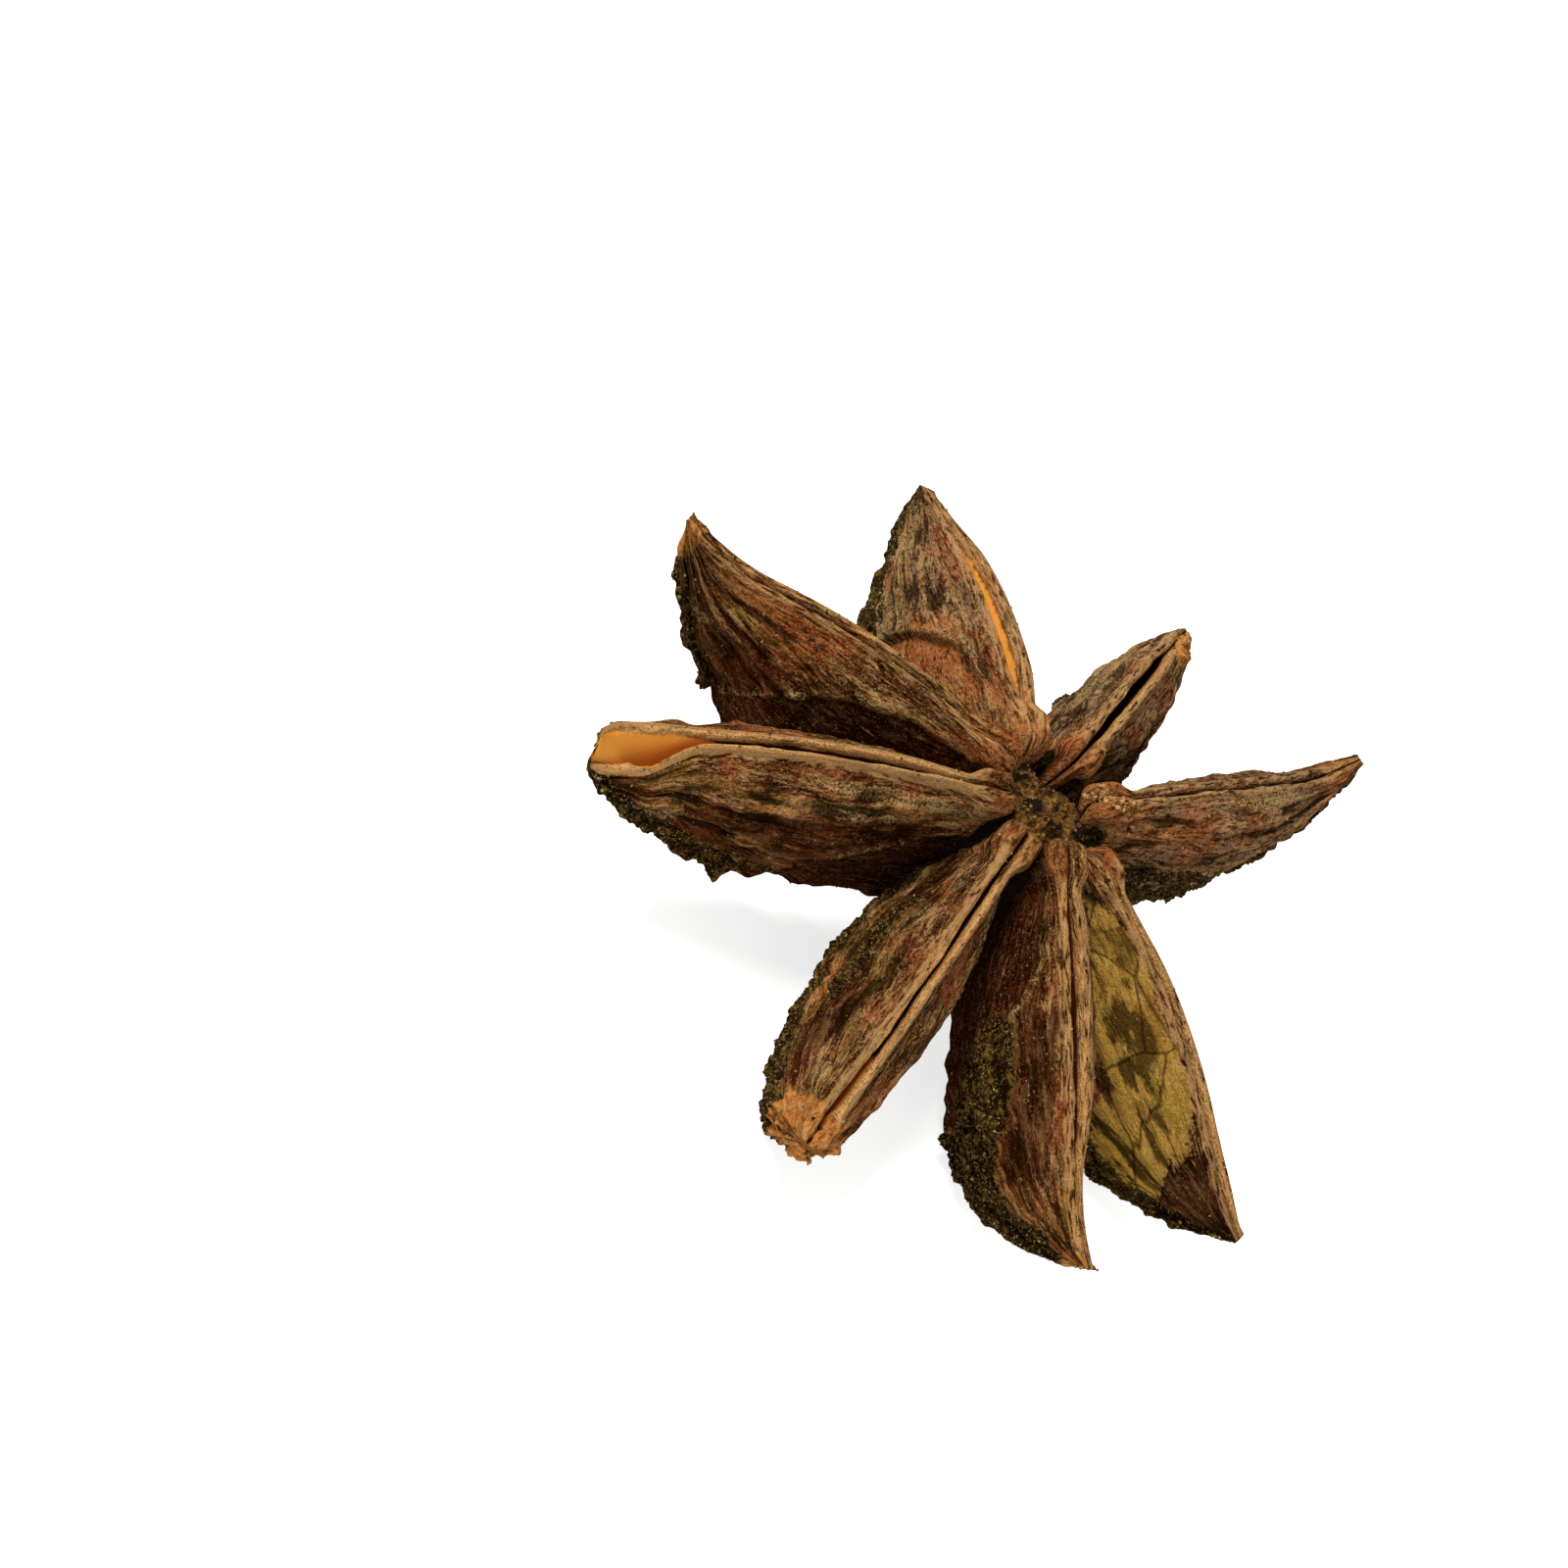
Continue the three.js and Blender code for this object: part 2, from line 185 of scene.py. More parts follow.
# Anticlockwise from the carpel that lies nearest to +X.
CARPELS = {
    "papery": {
        "pale": 0.35,
        "facets": ((3, 11, 0.1), (2, 5, 0.1)), "lip_tint": 0.6, "crust": (0.7, 0.6),
        "marks": (
            ("papery", -1, 5.8, 1.0, 2.4, 0.8, -8), ("papery", -1, 8.8, 1.7, 4.6, 1.4, -6),
            ("papery", -1, 12.4, 3.2, 2.5, 1.8, 25), ("crust", -1, 8.2, 4.7, 4.0, 0.9, 14),
            ("crust", -1, 5.2, 3.6, 2.4, 0.7, 20), ("raw", 1, 16.6, 0.4, 0.35, 0.5, 0),
            ("stain", -1, 15.2, 1.4, 2.2, 2.4, 0), ("stain", -1, 11.5, 6.0, 4.0, 1.6, 20),
        ),
        "azimuth": -2, "pitch": -19, "lean": -1.1, "reach": 16.8, "depth": 7.75,
        "arch": 1.0, "hook": 0.75, "sway": -2.7, "halves": (1.8, 2.4), "gape": 0.22,
        "opens": 0.2, "shuts": 0.97, "starts": 2.1, "root": (0.1, 0.4),
    },
    "slender": {
        "pale": 0.8,
        "facets": ((3, 9, 0.1), None), "facet_tint": 0.6, "crust": (0.8, 0.72),
        "lip_tint": 0.3,
        "marks": (
            ("rosy", -1, 5.2, 1.3, 2.2, 0.7, 0), ("dust", -1, 10.8, 0.4, 1.9, 0.5, 0),
            ("dust", -1, 7.6, 4.6, 2.2, 0.5, 12), ("crust", -1, 7.4, 4.0, 3.4, 0.6, 8),
            ("rosy", -1, 15.2, 1.0, 1.6, 1.6, 0), ("rosy", 1, 15.2, 1.0, 1.6, 1.6, 0),
        ),
        "azimuth": 57.1, "pitch": -3.6, "lean": -14.6, "reach": 16.2, "depth": 5.4,
        "arch": 0.7, "hook": 0.85, "sway": 2.2, "halves": (1.8, 1.6), "gape": 0.08,
        "belly": 1.45, "slim": 0.5, "starts": 1.75, "root": (0.1, -0.1),
    },
    "stubby": {
        "pale": 1.0,
        "facets": (None, (2, 7, 0.45)), "lip_tint": 0.6, "crust": (0.55, 0.5),
        "marks": (
            ("raw", -1, 13.1, 0.1, 0.8, 0.8, 0), ("dust", 1, 10, 2.2, 3, 1.4, 0),
            ("crust", -1, 5.4, 3.6, 2.6, 1.1, 0), ("stain", -1, 6.5, 2.2, 3.0, 0.6, 0),
        ),
        "azimuth": 96.4, "pitch": -8.6, "lean": 3, "reach": 14.2, "depth": 9.1,
        "arch": 0.6, "hook": 0.1, "sway": -0.55, "halves": (1.3, 2.3), "gape": 0.28,
        "opens": 0.08, "shuts": 0.84, "blunt": 0.5, "tapers": (3, 2.4),
        "fades": (0.7, 0.6), "deepest": 0.36, "heel": 1, "slim": 0.6, "starts": 2.1,
        "root": (0.2, 0.25),
    },
    "upright": {
        "pale": 0.75,
        "facets": ((3.4, 10.7, 0.1), (3, 9, 0.1)), "rim": 1.0, "facet_tint": 0.12,
        "pale_wall": (4, 15, 0.8), "crust": (0.52, 0.7),
        "marks": (
            ("rosy", 1, 6.0, 3.0, 3.6, 2.6, 0), ("dust", 1, 14.2, 1.6, 1.6, 1.4, 0),
            ("stain", 1, 15.3, 1.2, 1.0, 1.6, 0), ("crust", 1, 14.9, 1.6, 0.7, 0.5, 30),
            ("dust", 1, 11.5, 4.2, 2.4, 1.0, 20),
        ),
        "azimuth": 140.4, "pitch": -14.6, "lean": 12.8, "reach": 15.9, "depth": 9,
        "arch": 1.25, "hook": 0.5, "sway": -0.7, "halves": (2.2, 3.0), "gape": 0.75,
        "opens": 0.12, "shuts": 0.86, "deepest": 0.3, "belly": 1.7, "lips": (LIP, 0.85),
        "skew": 0.3, "tapers": (1.7, 1.3), "starts": 2.3, "root": (0.1, 0.15),
    },
    "hooked": {
        "pale": 0.05,
        "facets": ((1.8, 12.3, 0.1), (3, 10, 0.1)), "rim": 0.6, "facet_tint": 1.0,
        "lip_tint": 0.4, "crust": (0.8, 0.75),
        "marks": (
            ("raw", 1, 16.1, 0.5, 0.6, 1.2, 0), ("dust", 1, 14.6, 3.0, 1.6, 0.35, 40),
            ("stain", 1, 13.2, 4.0, 3.0, 2.4, 20),
            ("raw", -1, 16.1, 0.5, 0.6, 1.2, 0),
        ),
        "azimuth": 186.9, "pitch": -5.6, "lean": -1.1, "reach": 16.3, "depth": 9.6,
        "arch": 0.78, "hook": 1.8, "sway": 2.3, "halves": (2.3, 1.7), "gape": 0.12,
        "deepest": 0.3, "belly": 1.7, "root": (-0.1, 0.2),
    },
    "torn": {
        "pale": 0.15,
        "facets": ((2.6, 10.5, 0.36), (3, 10, 0.1)), "facet_tint": 0.8, "lip_tint": 1.3,
        "pale_wall": (13.5, 19, 1), "crust": (0.68, 0.7),
        "marks": (
            ("dust", 1, 6.5, 1.0, 3.6, 0.3, 0), ("dust", 1, 15.4, 2.8, 1.2, 0.8, 0),
            ("stain", 1, 7.0, 2.9, 5.0, 1.2, 0), ("stain", 1, 13.5, 3.0, 2.6, 0.8, 0),
            ("dust", 1, 8.4, 1.9, 2.9, 0.28, 0), ("rosy", 1, 8.0, 2.1, 4.2, 0.3, 0),
        ),
        "azimuth": 226.2, "pitch": -7.1, "lean": 1.7, "reach": 17.75, "depth": 7.5,
        "arch": 1.1, "hook": 0, "sway": -0.1, "halves": (2.3, 2), "gape": 0.2,
        "opens": 0.1, "shuts": 0.99, "blunt": 0.3, "mouth": 0.5, "heel": 0.95, "belly": 1.95,
        "deepest": 0.4, "tapers": (2.2, 2.2), "fades": (0.6, 0.6), "floor_rises": 0.93,
        "torn": 1.3, "starts": 1.45, "root": (0, 0.1),
    },
    "broken": {
        "pale": 0.25,
        "facets": ((3, 9, 0.1), None), "facet_tint": 0.5, "lip_tint": 0.8,
        "pale_wall": (12.5, 18, 1), "crust": (0.6, 0.42),
        "marks": (
            ("rosy", -1, 10.9, 3.2, 1.2, 0.9, 0), ("crust", -1, 9, 2.4, 3, 0.5, 8),
            ("stain", -1, 6.0, 2.2, 4.0, 0.8, 0), ("stain", -1, 12.8, 2.2, 2.2, 0.8, 0),
            ("crust", -1, 14.4, 3.8, 1.6, 1.3, 0),
            ("raw", -1, 16.5, 0.9, 1.3, 2.6, 0), ("raw", 1, 16.3, 0.9, 1.2, 2.4, 0),
        ),
        "azimuth": 278, "pitch": -16.9, "lean": -9.9, "reach": 16.6, "depth": 7.6,
        "arch": 0.8, "hook": -0.4, "sway": 0.75, "halves": (2.3, 2.3), "gape": 0.13,
        "opens": 0.02, "shuts": 0.99, "blunt": 0.6, "mouth": 0.12, "heel": 0.95,
        "tapers": (2.5, 2.5), "fades": (0.6, 0.6), "floor_rises": 0.93, "starts": 1.45,
        "root": (0, 0.05),
    },
    "grooved": {
        "pale": 0.05,
        "facets": ((3, 9, 0.1), (2.4, 11, 0.1)), "facet_tint": 0.95, "lip_tint": 0.55,
        "crust": (0.7, 0.43),
        "marks": (
            ("rosy", -1, 8.4, 1.3, 3.0, 0.35, 0), ("raw", -1, 17.6, 0.5, 0.5, 0.6, 0),
            ("stain", -1, 10.5, 1.7, 5.0, 1.3, 0), ("crust", -1, 11.2, 3.8, 3.6, 1.5, 20),
        ),
        "azimuth": 317.1, "pitch": -10.9, "lean": -0.3, "reach": 17.9, "depth": 7.6,
        "arch": 0.65, "hook": 1.3, "sway": -0.7, "halves": (2.3, 2.1), "gape": 0.22,
        "opens": 0.02, "shuts": 0.78, "lips": (0.75, LIP), "tapers": (1, 1.7),
        "fades": (2.2, 0.85), "belly": 2.1, "starts": 1.45, "root": (0.2, 0.3),
    },
}

# One half of a cross section below the lip: share of the depth, share of the half breadth,
# and the clearance to the next carpel's half of the space.
FLANK_ROWS = (
    (0.12, 0.66, 0.22),
    (0.24, 0.86, 0.2),
    (0.42, 0.99, 0.17),
    (0.58, 0.84, 0.15),
    (0.74, 0.6, 0.1),
    (0.9, 0.37, -0.04),
)

# How many samples of the mesh lie in each gap between the rows of half a section, from the
# seam's floor to the keel. They are closest on the lip.
ROW_SAMPLES = (14, 12, 10, 8, 8, 12, 16, 15, 14, 15, 13, 7)
CREST_ROW = 3
STATIONS = 250


# ---- Curves of a carpel ----


def smoothstep(x, low, high):
    t = np.clip((x - low) / (high - low), 0, 1)
    return t * t * (3 - 2 * t)


def lerp(a, b, t):
    return a + (b - a) * t


def swell(start, full, fading, end, x):
    """Rises from 0 to 1 between start and full, and falls back between fading and end."""
    return smoothstep(x, start, full) * (1 - smoothstep(x, fading, end))


def lumps(x, phase):
    """Uneven lumps, from -1 to 1, that never repeat over a carpel's length."""
    waves = np.sin(2.1 * x + phase) + 0.6 * np.sin(3.7 * x + 2 * phase)
    return (waves + 0.4 * np.sin(6.1 * x + 3 * phase)) / 2


def seam_at(carpel, share):
    """Distance out, place along, sideways offset and height of the seam at each station."""
    x = lerp(carpel["starts"], carpel["reach"], share)
    along = np.clip((x - SEAM_START) / (carpel["reach"] - SEAM_START), 0, 1)
    beak = np.clip((along - BEAK_START) / (1 - BEAK_START), 0, 1)
    arch = 4 * carpel["arch"] * along * (1 - along) * (1 + carpel["skew"] * (along - 0.5))
    aside, up = carpel["root"]
    rooted = (1 - along) ** 4
    sway = carpel["sway"] * along**2 + aside * rooted
    return x, along, sway, arch + carpel["hook"] * beak**2 + up * rooted


def depth_at(carpel, x, along):
    deepest = carpel["deepest"]
    rise = np.sin(math.pi / 2 * np.clip(along / deepest, 0, 1))
    fall = np.clip((along - deepest) / (1 - deepest), 0, 1) ** carpel["belly"]
    boat = np.where(along < deepest, lerp(carpel["heel"], 1, rise), 1 - fall)
    stub = np.sqrt(1 - np.clip((along - 0.35) / 0.65, 0, 1) ** 3.5)
    keel = CRAG * lumps(x, carpel["azimuth"]) * swell(0, 0.2, 0.85, 1, along)
    return np.maximum(carpel["depth"] * lerp(boat, stub, carpel["blunt"]) + keel, 0.05)


def breadth_at(carpel, along, side):
    hand = 0 if side > 0 else 1
    grown = lerp(carpel["slim"], 1, smoothstep(along, -0.05, 0.48))
    outer = np.clip((along - 0.4) / 0.6, 0, 1) ** carpel["tapers"][hand]
    return carpel["halves"][hand] * grown * lerp(0.14, 1, (1 - outer) ** carpel["fades"][hand])


def gape_at(carpel, along, breadth):
    opens, shuts = carpel["opens"], carpel["shuts"]
    gap = carpel["gape"] / 2 * swell(opens, opens + 0.18, shuts - 0.15, shuts, along)
    broken = carpel["mouth"] / 2 * smoothstep(along, 0.72, 0.95)
    end = np.sqrt(1 - np.clip((along - 0.94) / 0.06, 0, 1) ** 2)
    return np.minimum((gap + broken + HAIRLINE) * lerp(0.15, 1, end), 0.6 * breadth)


def soft_min(a, b):
    """The smaller of two lengths, with the corner between them rounded off."""
    sharpness = 4
    return -np.log(np.exp(-sharpness * a) + np.exp(-sharpness * b)) / sharpness


def half_sections(carpel, x, along, side, half_gap):
    """Distance from the seam's plane, depth below the seam and distance further out, from the
    seam's floor over the lip and down the flank to the keel, as (stations, rows, 3)."""
    depth = depth_at(carpel, x, along)
    breadth = breadth_at(carpel, along, side)
    gape = gape_at(carpel, along, breadth)
    rises = carpel["floor_rises"]
    deep = SEAM_DEPTH * swell(-0.05, 0.12, rises, (rises + 1.18) / 2, along)
    floor = np.minimum(deep + 0.25, 0.6 * depth)
    starts = carpel["starts"]
    knob = KNOB * swell(starts, starts + 0.5, starts + 1.2, starts + 2.2, x)
    lip = np.minimum(carpel["lips"][0 if side > 0 else 1], 0.55 * breadth) + knob
    room = np.maximum(x * math.tan(half_gap), 0.1)

    rows = [
        (0 * x, floor),
        (0.9 * gape, 0.6 * floor),
        (gape + 0.12 * lip, 0.05 - knob / 2),
        (gape + 0.55 * lip, -0.02 - knob),
        (gape + lip, 0.03 * depth + 0.08 - knob / 2),
    ]
    for down, out, clearance in FLANK_ROWS:
        lump = FLANK_CRAG * lumps(x + 3 * down, carpel["azimuth"] + 7 * down + side)
        free = soft_min(breadth * out + lump * smoothstep(along, 0, 0.3), room - clearance)
        least = np.minimum(gape + lip * (1 + 0.5 * down), 0.9 * breadth)
        rows.append((np.maximum(free, least), down * depth))
    rows.append((0.2 * breadth + 0.1, 0.985 * depth))
    rows.append((0 * x, depth))
    out, down = np.transpose(rows, (1, 2, 0))

    depth = depth[:, None]
    inner = np.clip(1 - (x - starts) / INNER_ROUNDING, 0, 1)[:, None]
    rounding = INNER_ROUNDING * (1 - np.sqrt(1 - inner**2))
    rounded = down + rounding * (1 - np.clip(down / depth, 0, 1))
    torn = (carpel["torn"] * smoothstep(along, 0.78, 0.88) if side > 0 else 0 * x)[:, None]
    sunk = rounded + torn * np.clip(1 - rounded / (torn + 1.2), 0, 1)
    hollow = UNDERCUT * (1 - np.clip((x - starts) / 2, 0, 1))[:, None]
    return np.stack([out, sunk, hollow * swell(0.2, 1.2, 1.8, 3.2, sunk)], -1)


def smooth_through(points, samples):
    """Curves through the points of each station's closed section, with that many samples in
    each gap, evenly spaced there. Returns them with their row numbers."""
    after = np.roll(points, -1, 1)
    gaps = np.sqrt(np.linalg.norm(after - points, axis=-1, keepdims=True)) + 1e-4
    slopes = (after - points) / gaps
    before, slopes_before = np.roll(gaps, 1, 1), np.roll(slopes, 1, 1)
    tangents = (slopes_before * gaps + slopes * before) / (gaps + before)

    row = np.repeat(np.arange(len(samples)), samples)
    t = np.concatenate([np.arange(count) / count for count in samples])
    row, t = np.append(row, 0), np.append(t, 0.0)
    ahead = (row + 1) % len(samples)
    s = t[:, None]
    curve = (
        (2 * s**3 - 3 * s**2 + 1) * points[:, row]
        + (s**3 - 2 * s**2 + s) * gaps[:, row] * tangents[:, row]
        + (3 * s**2 - 2 * s**3) * points[:, ahead]
        + (s**3 - s**2) * gaps[:, row] * tangents[:, ahead]
    )
    return curve, row + t


# ---- Relief ----


def lattice_noise(points, seed):
    """Smooth noise, about -1 to 1, whose lumps are about one unit across, at (..., 3)."""
    draws = np.random.default_rng(seed)
    order = draws.permutation(256)
    slopes = draws.normal(size=(256, 3))
    slopes *= 1.6 / np.linalg.norm(slopes, axis=1, keepdims=True)
    cell = np.floor(points).astype(int)
    part = points - cell
    ease = part**3 * (part * (part * 6 - 15) + 10)
    total = np.zeros(points.shape[:-1])
    for corner in itertools.product((0, 1), repeat=3):
        key = np.zeros(points.shape[:-1], int)
        for axis in range(3):
            key = order[(key + cell[..., axis] + corner[axis]) & 255]
        weight = np.prod(np.where(corner, ease, 1 - ease), -1)
        total += weight * np.sum(slopes[key] * (part - corner), -1)
    return total


def grain_noise(grain, lengths, seed, octaves=2):
    """Noise stretched along the grain: lengths are its size along and across, in mm."""
    scaled = grain / np.array([lengths[0], lengths[1], lengths[1]])
    return sum(
        lattice_noise(scaled * 2**octave, seed + octave) / 2**octave
        for octave in range(octaves)
    )


def outward(points):
    """Unit normals of a grid of points whose second axis goes round a closed ring."""
    along = np.gradient(points, axis=0)
    ring = points[:, :-1]
    around = np.roll(ring, -1, 1) - np.roll(ring, 1, 1)
    around = np.concatenate([around, around[:, :1]], 1)
    normals = np.cross(along, around)
    return normals / np.maximum(np.linalg.norm(normals, axis=-1, keepdims=True), 1e-9)


def billow(grain, lengths, seed, octaves):
    """Rounded swellings with sharp creases between them, about -0.5 to 0.5."""
    return np.abs(grain_noise(grain, lengths, seed, octaves)) * 1.5 - 0.5


def below_crest(section, row):
    """How far each sample lies below the crest of its own side's lip, along the section."""
    steps = np.linalg.norm(np.diff(section, axis=1), axis=-1)
    travelled = np.concatenate([np.zeros((len(section), 1)), np.cumsum(steps, 1)], 1)
    rows = len(ROW_SAMPLES)
    right_crest = np.argmin(np.abs(row - (rows - CREST_ROW)))
    left_crest = np.argmin(np.abs(row - (rows + CREST_ROW)))
    crest = np.where(row > rows, travelled[:, [left_crest]], -travelled[:, [right_crest]])
    return np.where(row > rows, travelled, -travelled) - crest


def blot(dx, dy, length, height, slant):
    """An oval blot: 1 in its middle, 0.5 at its edge, 0 outside. Sizes are halves, in mm."""
    c, s = math.cos(math.radians(slant)), math.sin(math.radians(slant))
    far = np.hypot((c * dx + s * dy) / length, (c * dy - s * dx) / height)
    return 1 - smoothstep(far, 0.6, 1.4)


# ---- Meshes ----


def new_piece(name, shape):
    """A new object from a bmesh, which is freed."""
    mesh = bpy.data.meshes.new(name)
    shape.to_mesh(mesh)
    shape.free()
    piece = bpy.data.objects.new(name, mesh)
    bpy.context.scene.collection.objects.link(piece)
    return piece


def vertex_places(mesh):
    places = np.zeros(len(mesh.vertices) * 3)
    mesh.vertices.foreach_get("co", places)
    return places.reshape(-1, 3)


def sheet(name, columns, rows):
    """A new object with a flat grid of that many vertices each way, and the order in which
    its vertices run through a (columns, rows) array."""
    grid = bmesh.new()
    bmesh.ops.create_grid(grid, x_segments=columns - 1, y_segments=rows - 1, size=0.5)
    piece = new_piece(name, grid)
    column, row = (vertex_places(piece.data)[:, :2] + 0.5).T
    column = np.rint(column * (columns - 1)).astype(int)
    row = np.rint(row * (rows - 1)).astype(int)
    return piece, column * rows + row


def fill_sheet(piece, order, points, marks):
    """Puts a sheet's vertices at the points, in mm, stores the marks on them, closes what
    meets and turns the faces outwards."""
    mesh = piece.data
    mesh.vertices.foreach_set("co", (points.reshape(-1, 3)[order] * MM).ravel())
    for name, values in marks.items():
        values = np.ascontiguousarray(values, np.float32)
        if values.ndim == 3:
            layer = mesh.attributes.new(name, "FLOAT_VECTOR", "POINT")
            layer.data.foreach_set("vector", values.reshape(-1, 3)[order].ravel())
        else:
            layer = mesh.attributes.new(name, "FLOAT", "POINT")
            layer.data.foreach_set("value", values.reshape(-1)[order])
    closing = bmesh.new()
    closing.from_mesh(mesh)
    bmesh.ops.remove_doubles(closing, verts=closing.verts, dist=1e-7)
    bmesh.ops.dissolve_degenerate(closing, edges=closing.edges, dist=1e-8)
    bmesh.ops.recalc_face_normals(closing, faces=closing.faces)
    closing.to_mesh(mesh)
    closing.free()
    mesh.shade_smooth()


def declare(piece, material):
    """Says that a finished piece is part of the pod."""
    piece.data.materials.append(material)
    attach(piece, "root")
    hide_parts(POD)


# ---- Materials ----

SPECK_GAP = 0.17  # mm between the places where a grain of sand may lie
SKIN_PATCH = 10 / 3  # mm across the patches between the papery skin's cracks
TISSUE_GRAIN = 0.2  # mm across a grain of the column's tissue
FLOOR_GLOW = 0.75  # how strongly the floor shines, so that the shadows on it stay faint


def hex_to_linear(code):
    """The linear colour of an sRGB hex value such as #5a3423."""
    channels = [int(code[i : i + 2], 16) / 255 for i in (1, 3, 5)]
    linear = [c / 12.92 if c <= 0.04045 else ((c + 0.055) / 1.055) ** 2.4 for c in channels]
    return (*linear, 1.0)


def add_node(tree, kind, inputs=None, **settings):
    """Adds a node with its settings. An input is given a value, or a socket to link from."""
    node = tree.nodes.new(kind)
    for name, value in settings.items():
        setattr(node, name, value)
    for socket, value in (inputs or {}).items():
        if isinstance(value, bpy.types.NodeSocket):
            tree.links.new(value, node.inputs[socket])
        else:
            node.inputs[socket].default_value = value
    return node


def new_material(name):
    """A new material, dull all over, with its shader."""
    material = bpy.data.materials.new(name)
    material.use_nodes = True
    shader = material.node_tree.nodes["Principled BSDF"]
    shader.inputs["Roughness"].default_value = 0.9
    return material, shader


def rind_patterns(add, flat, grain):
    """Noise of each kind that shows on the rind, by name. Flat ones have no direction, and the
    others are stretched along the grain. Sizes are along and across it, in mm."""
    patterns = {}
    for name, source, along, across, detail in (
        ("clouds", flat, 2.2, 2.2, 4),
        ("tones", grain, 6.0, 0.7, 2),
        ("blotches", grain, 1.5, 0.4, 5),
        ("furrows", grain, 2.4, 0.24, 3),
        ("fibres", grain, 0.6, 0.12, 3),
        ("hairs", grain, 0.2, 0.06, 2),
        ("mottle", flat, 0.28, 0.28, 4),
        ("grit", flat, 0.085, 0.085, 2),
    ):
        scale = (1 / along, 1 / across, 1 / across)
        place = add("ShaderNodeMapping", {"Vector": source, "Scale": scale}).outputs[0]
        noise = add("ShaderNodeTexNoise", {"Vector": place, "Scale": 1.0, "Detail": detail})
        patterns[name] = noise.outputs[0]
    return patterns


def sand_specks(add, flat, strength):
    """Pale grains of sand, one in each cell, and the third of the cells that keep theirs."""
    place = add("ShaderNodeMapping", {"Vector": flat, "Scale": (1 / SPECK_GAP,) * 3})
    cells = add("ShaderNodeTexVoronoi", {"Vector": place.outputs[0], "Scale": 1.0})
    edge = {"Value": cells.outputs["Distance"], "From Min": 0.2, "From Max": 0.08}
    grains = add("ShaderNodeMapRange", {**edge, "To Max": strength})
    draw = {0: cells.outputs["Color"], 1: 0.68}
    chosen = add("ShaderNodeMath", draw, operation="GREATER_THAN")
    return grains.outputs[0], chosen.outputs[0]


def skin_cracks(add, flat, strength):
    """Thin cracks between the patches of the papery skin."""
    place = add("ShaderNodeMapping", {"Vector": flat, "Scale": (1 / SKIN_PATCH,) * 3})
    patches = add(
        "ShaderNodeTexVoronoi",
        {"Vector": place.outputs[0], "Scale": 1.0},
        feature="DISTANCE_TO_EDGE",
    )
    edge = {"Value": patches.outputs["Distance"], "From Min": 0.02, "From Max": 0.004}
    return add("ShaderNodeMapRange", {**edge, "To Max": strength}).outputs[0]


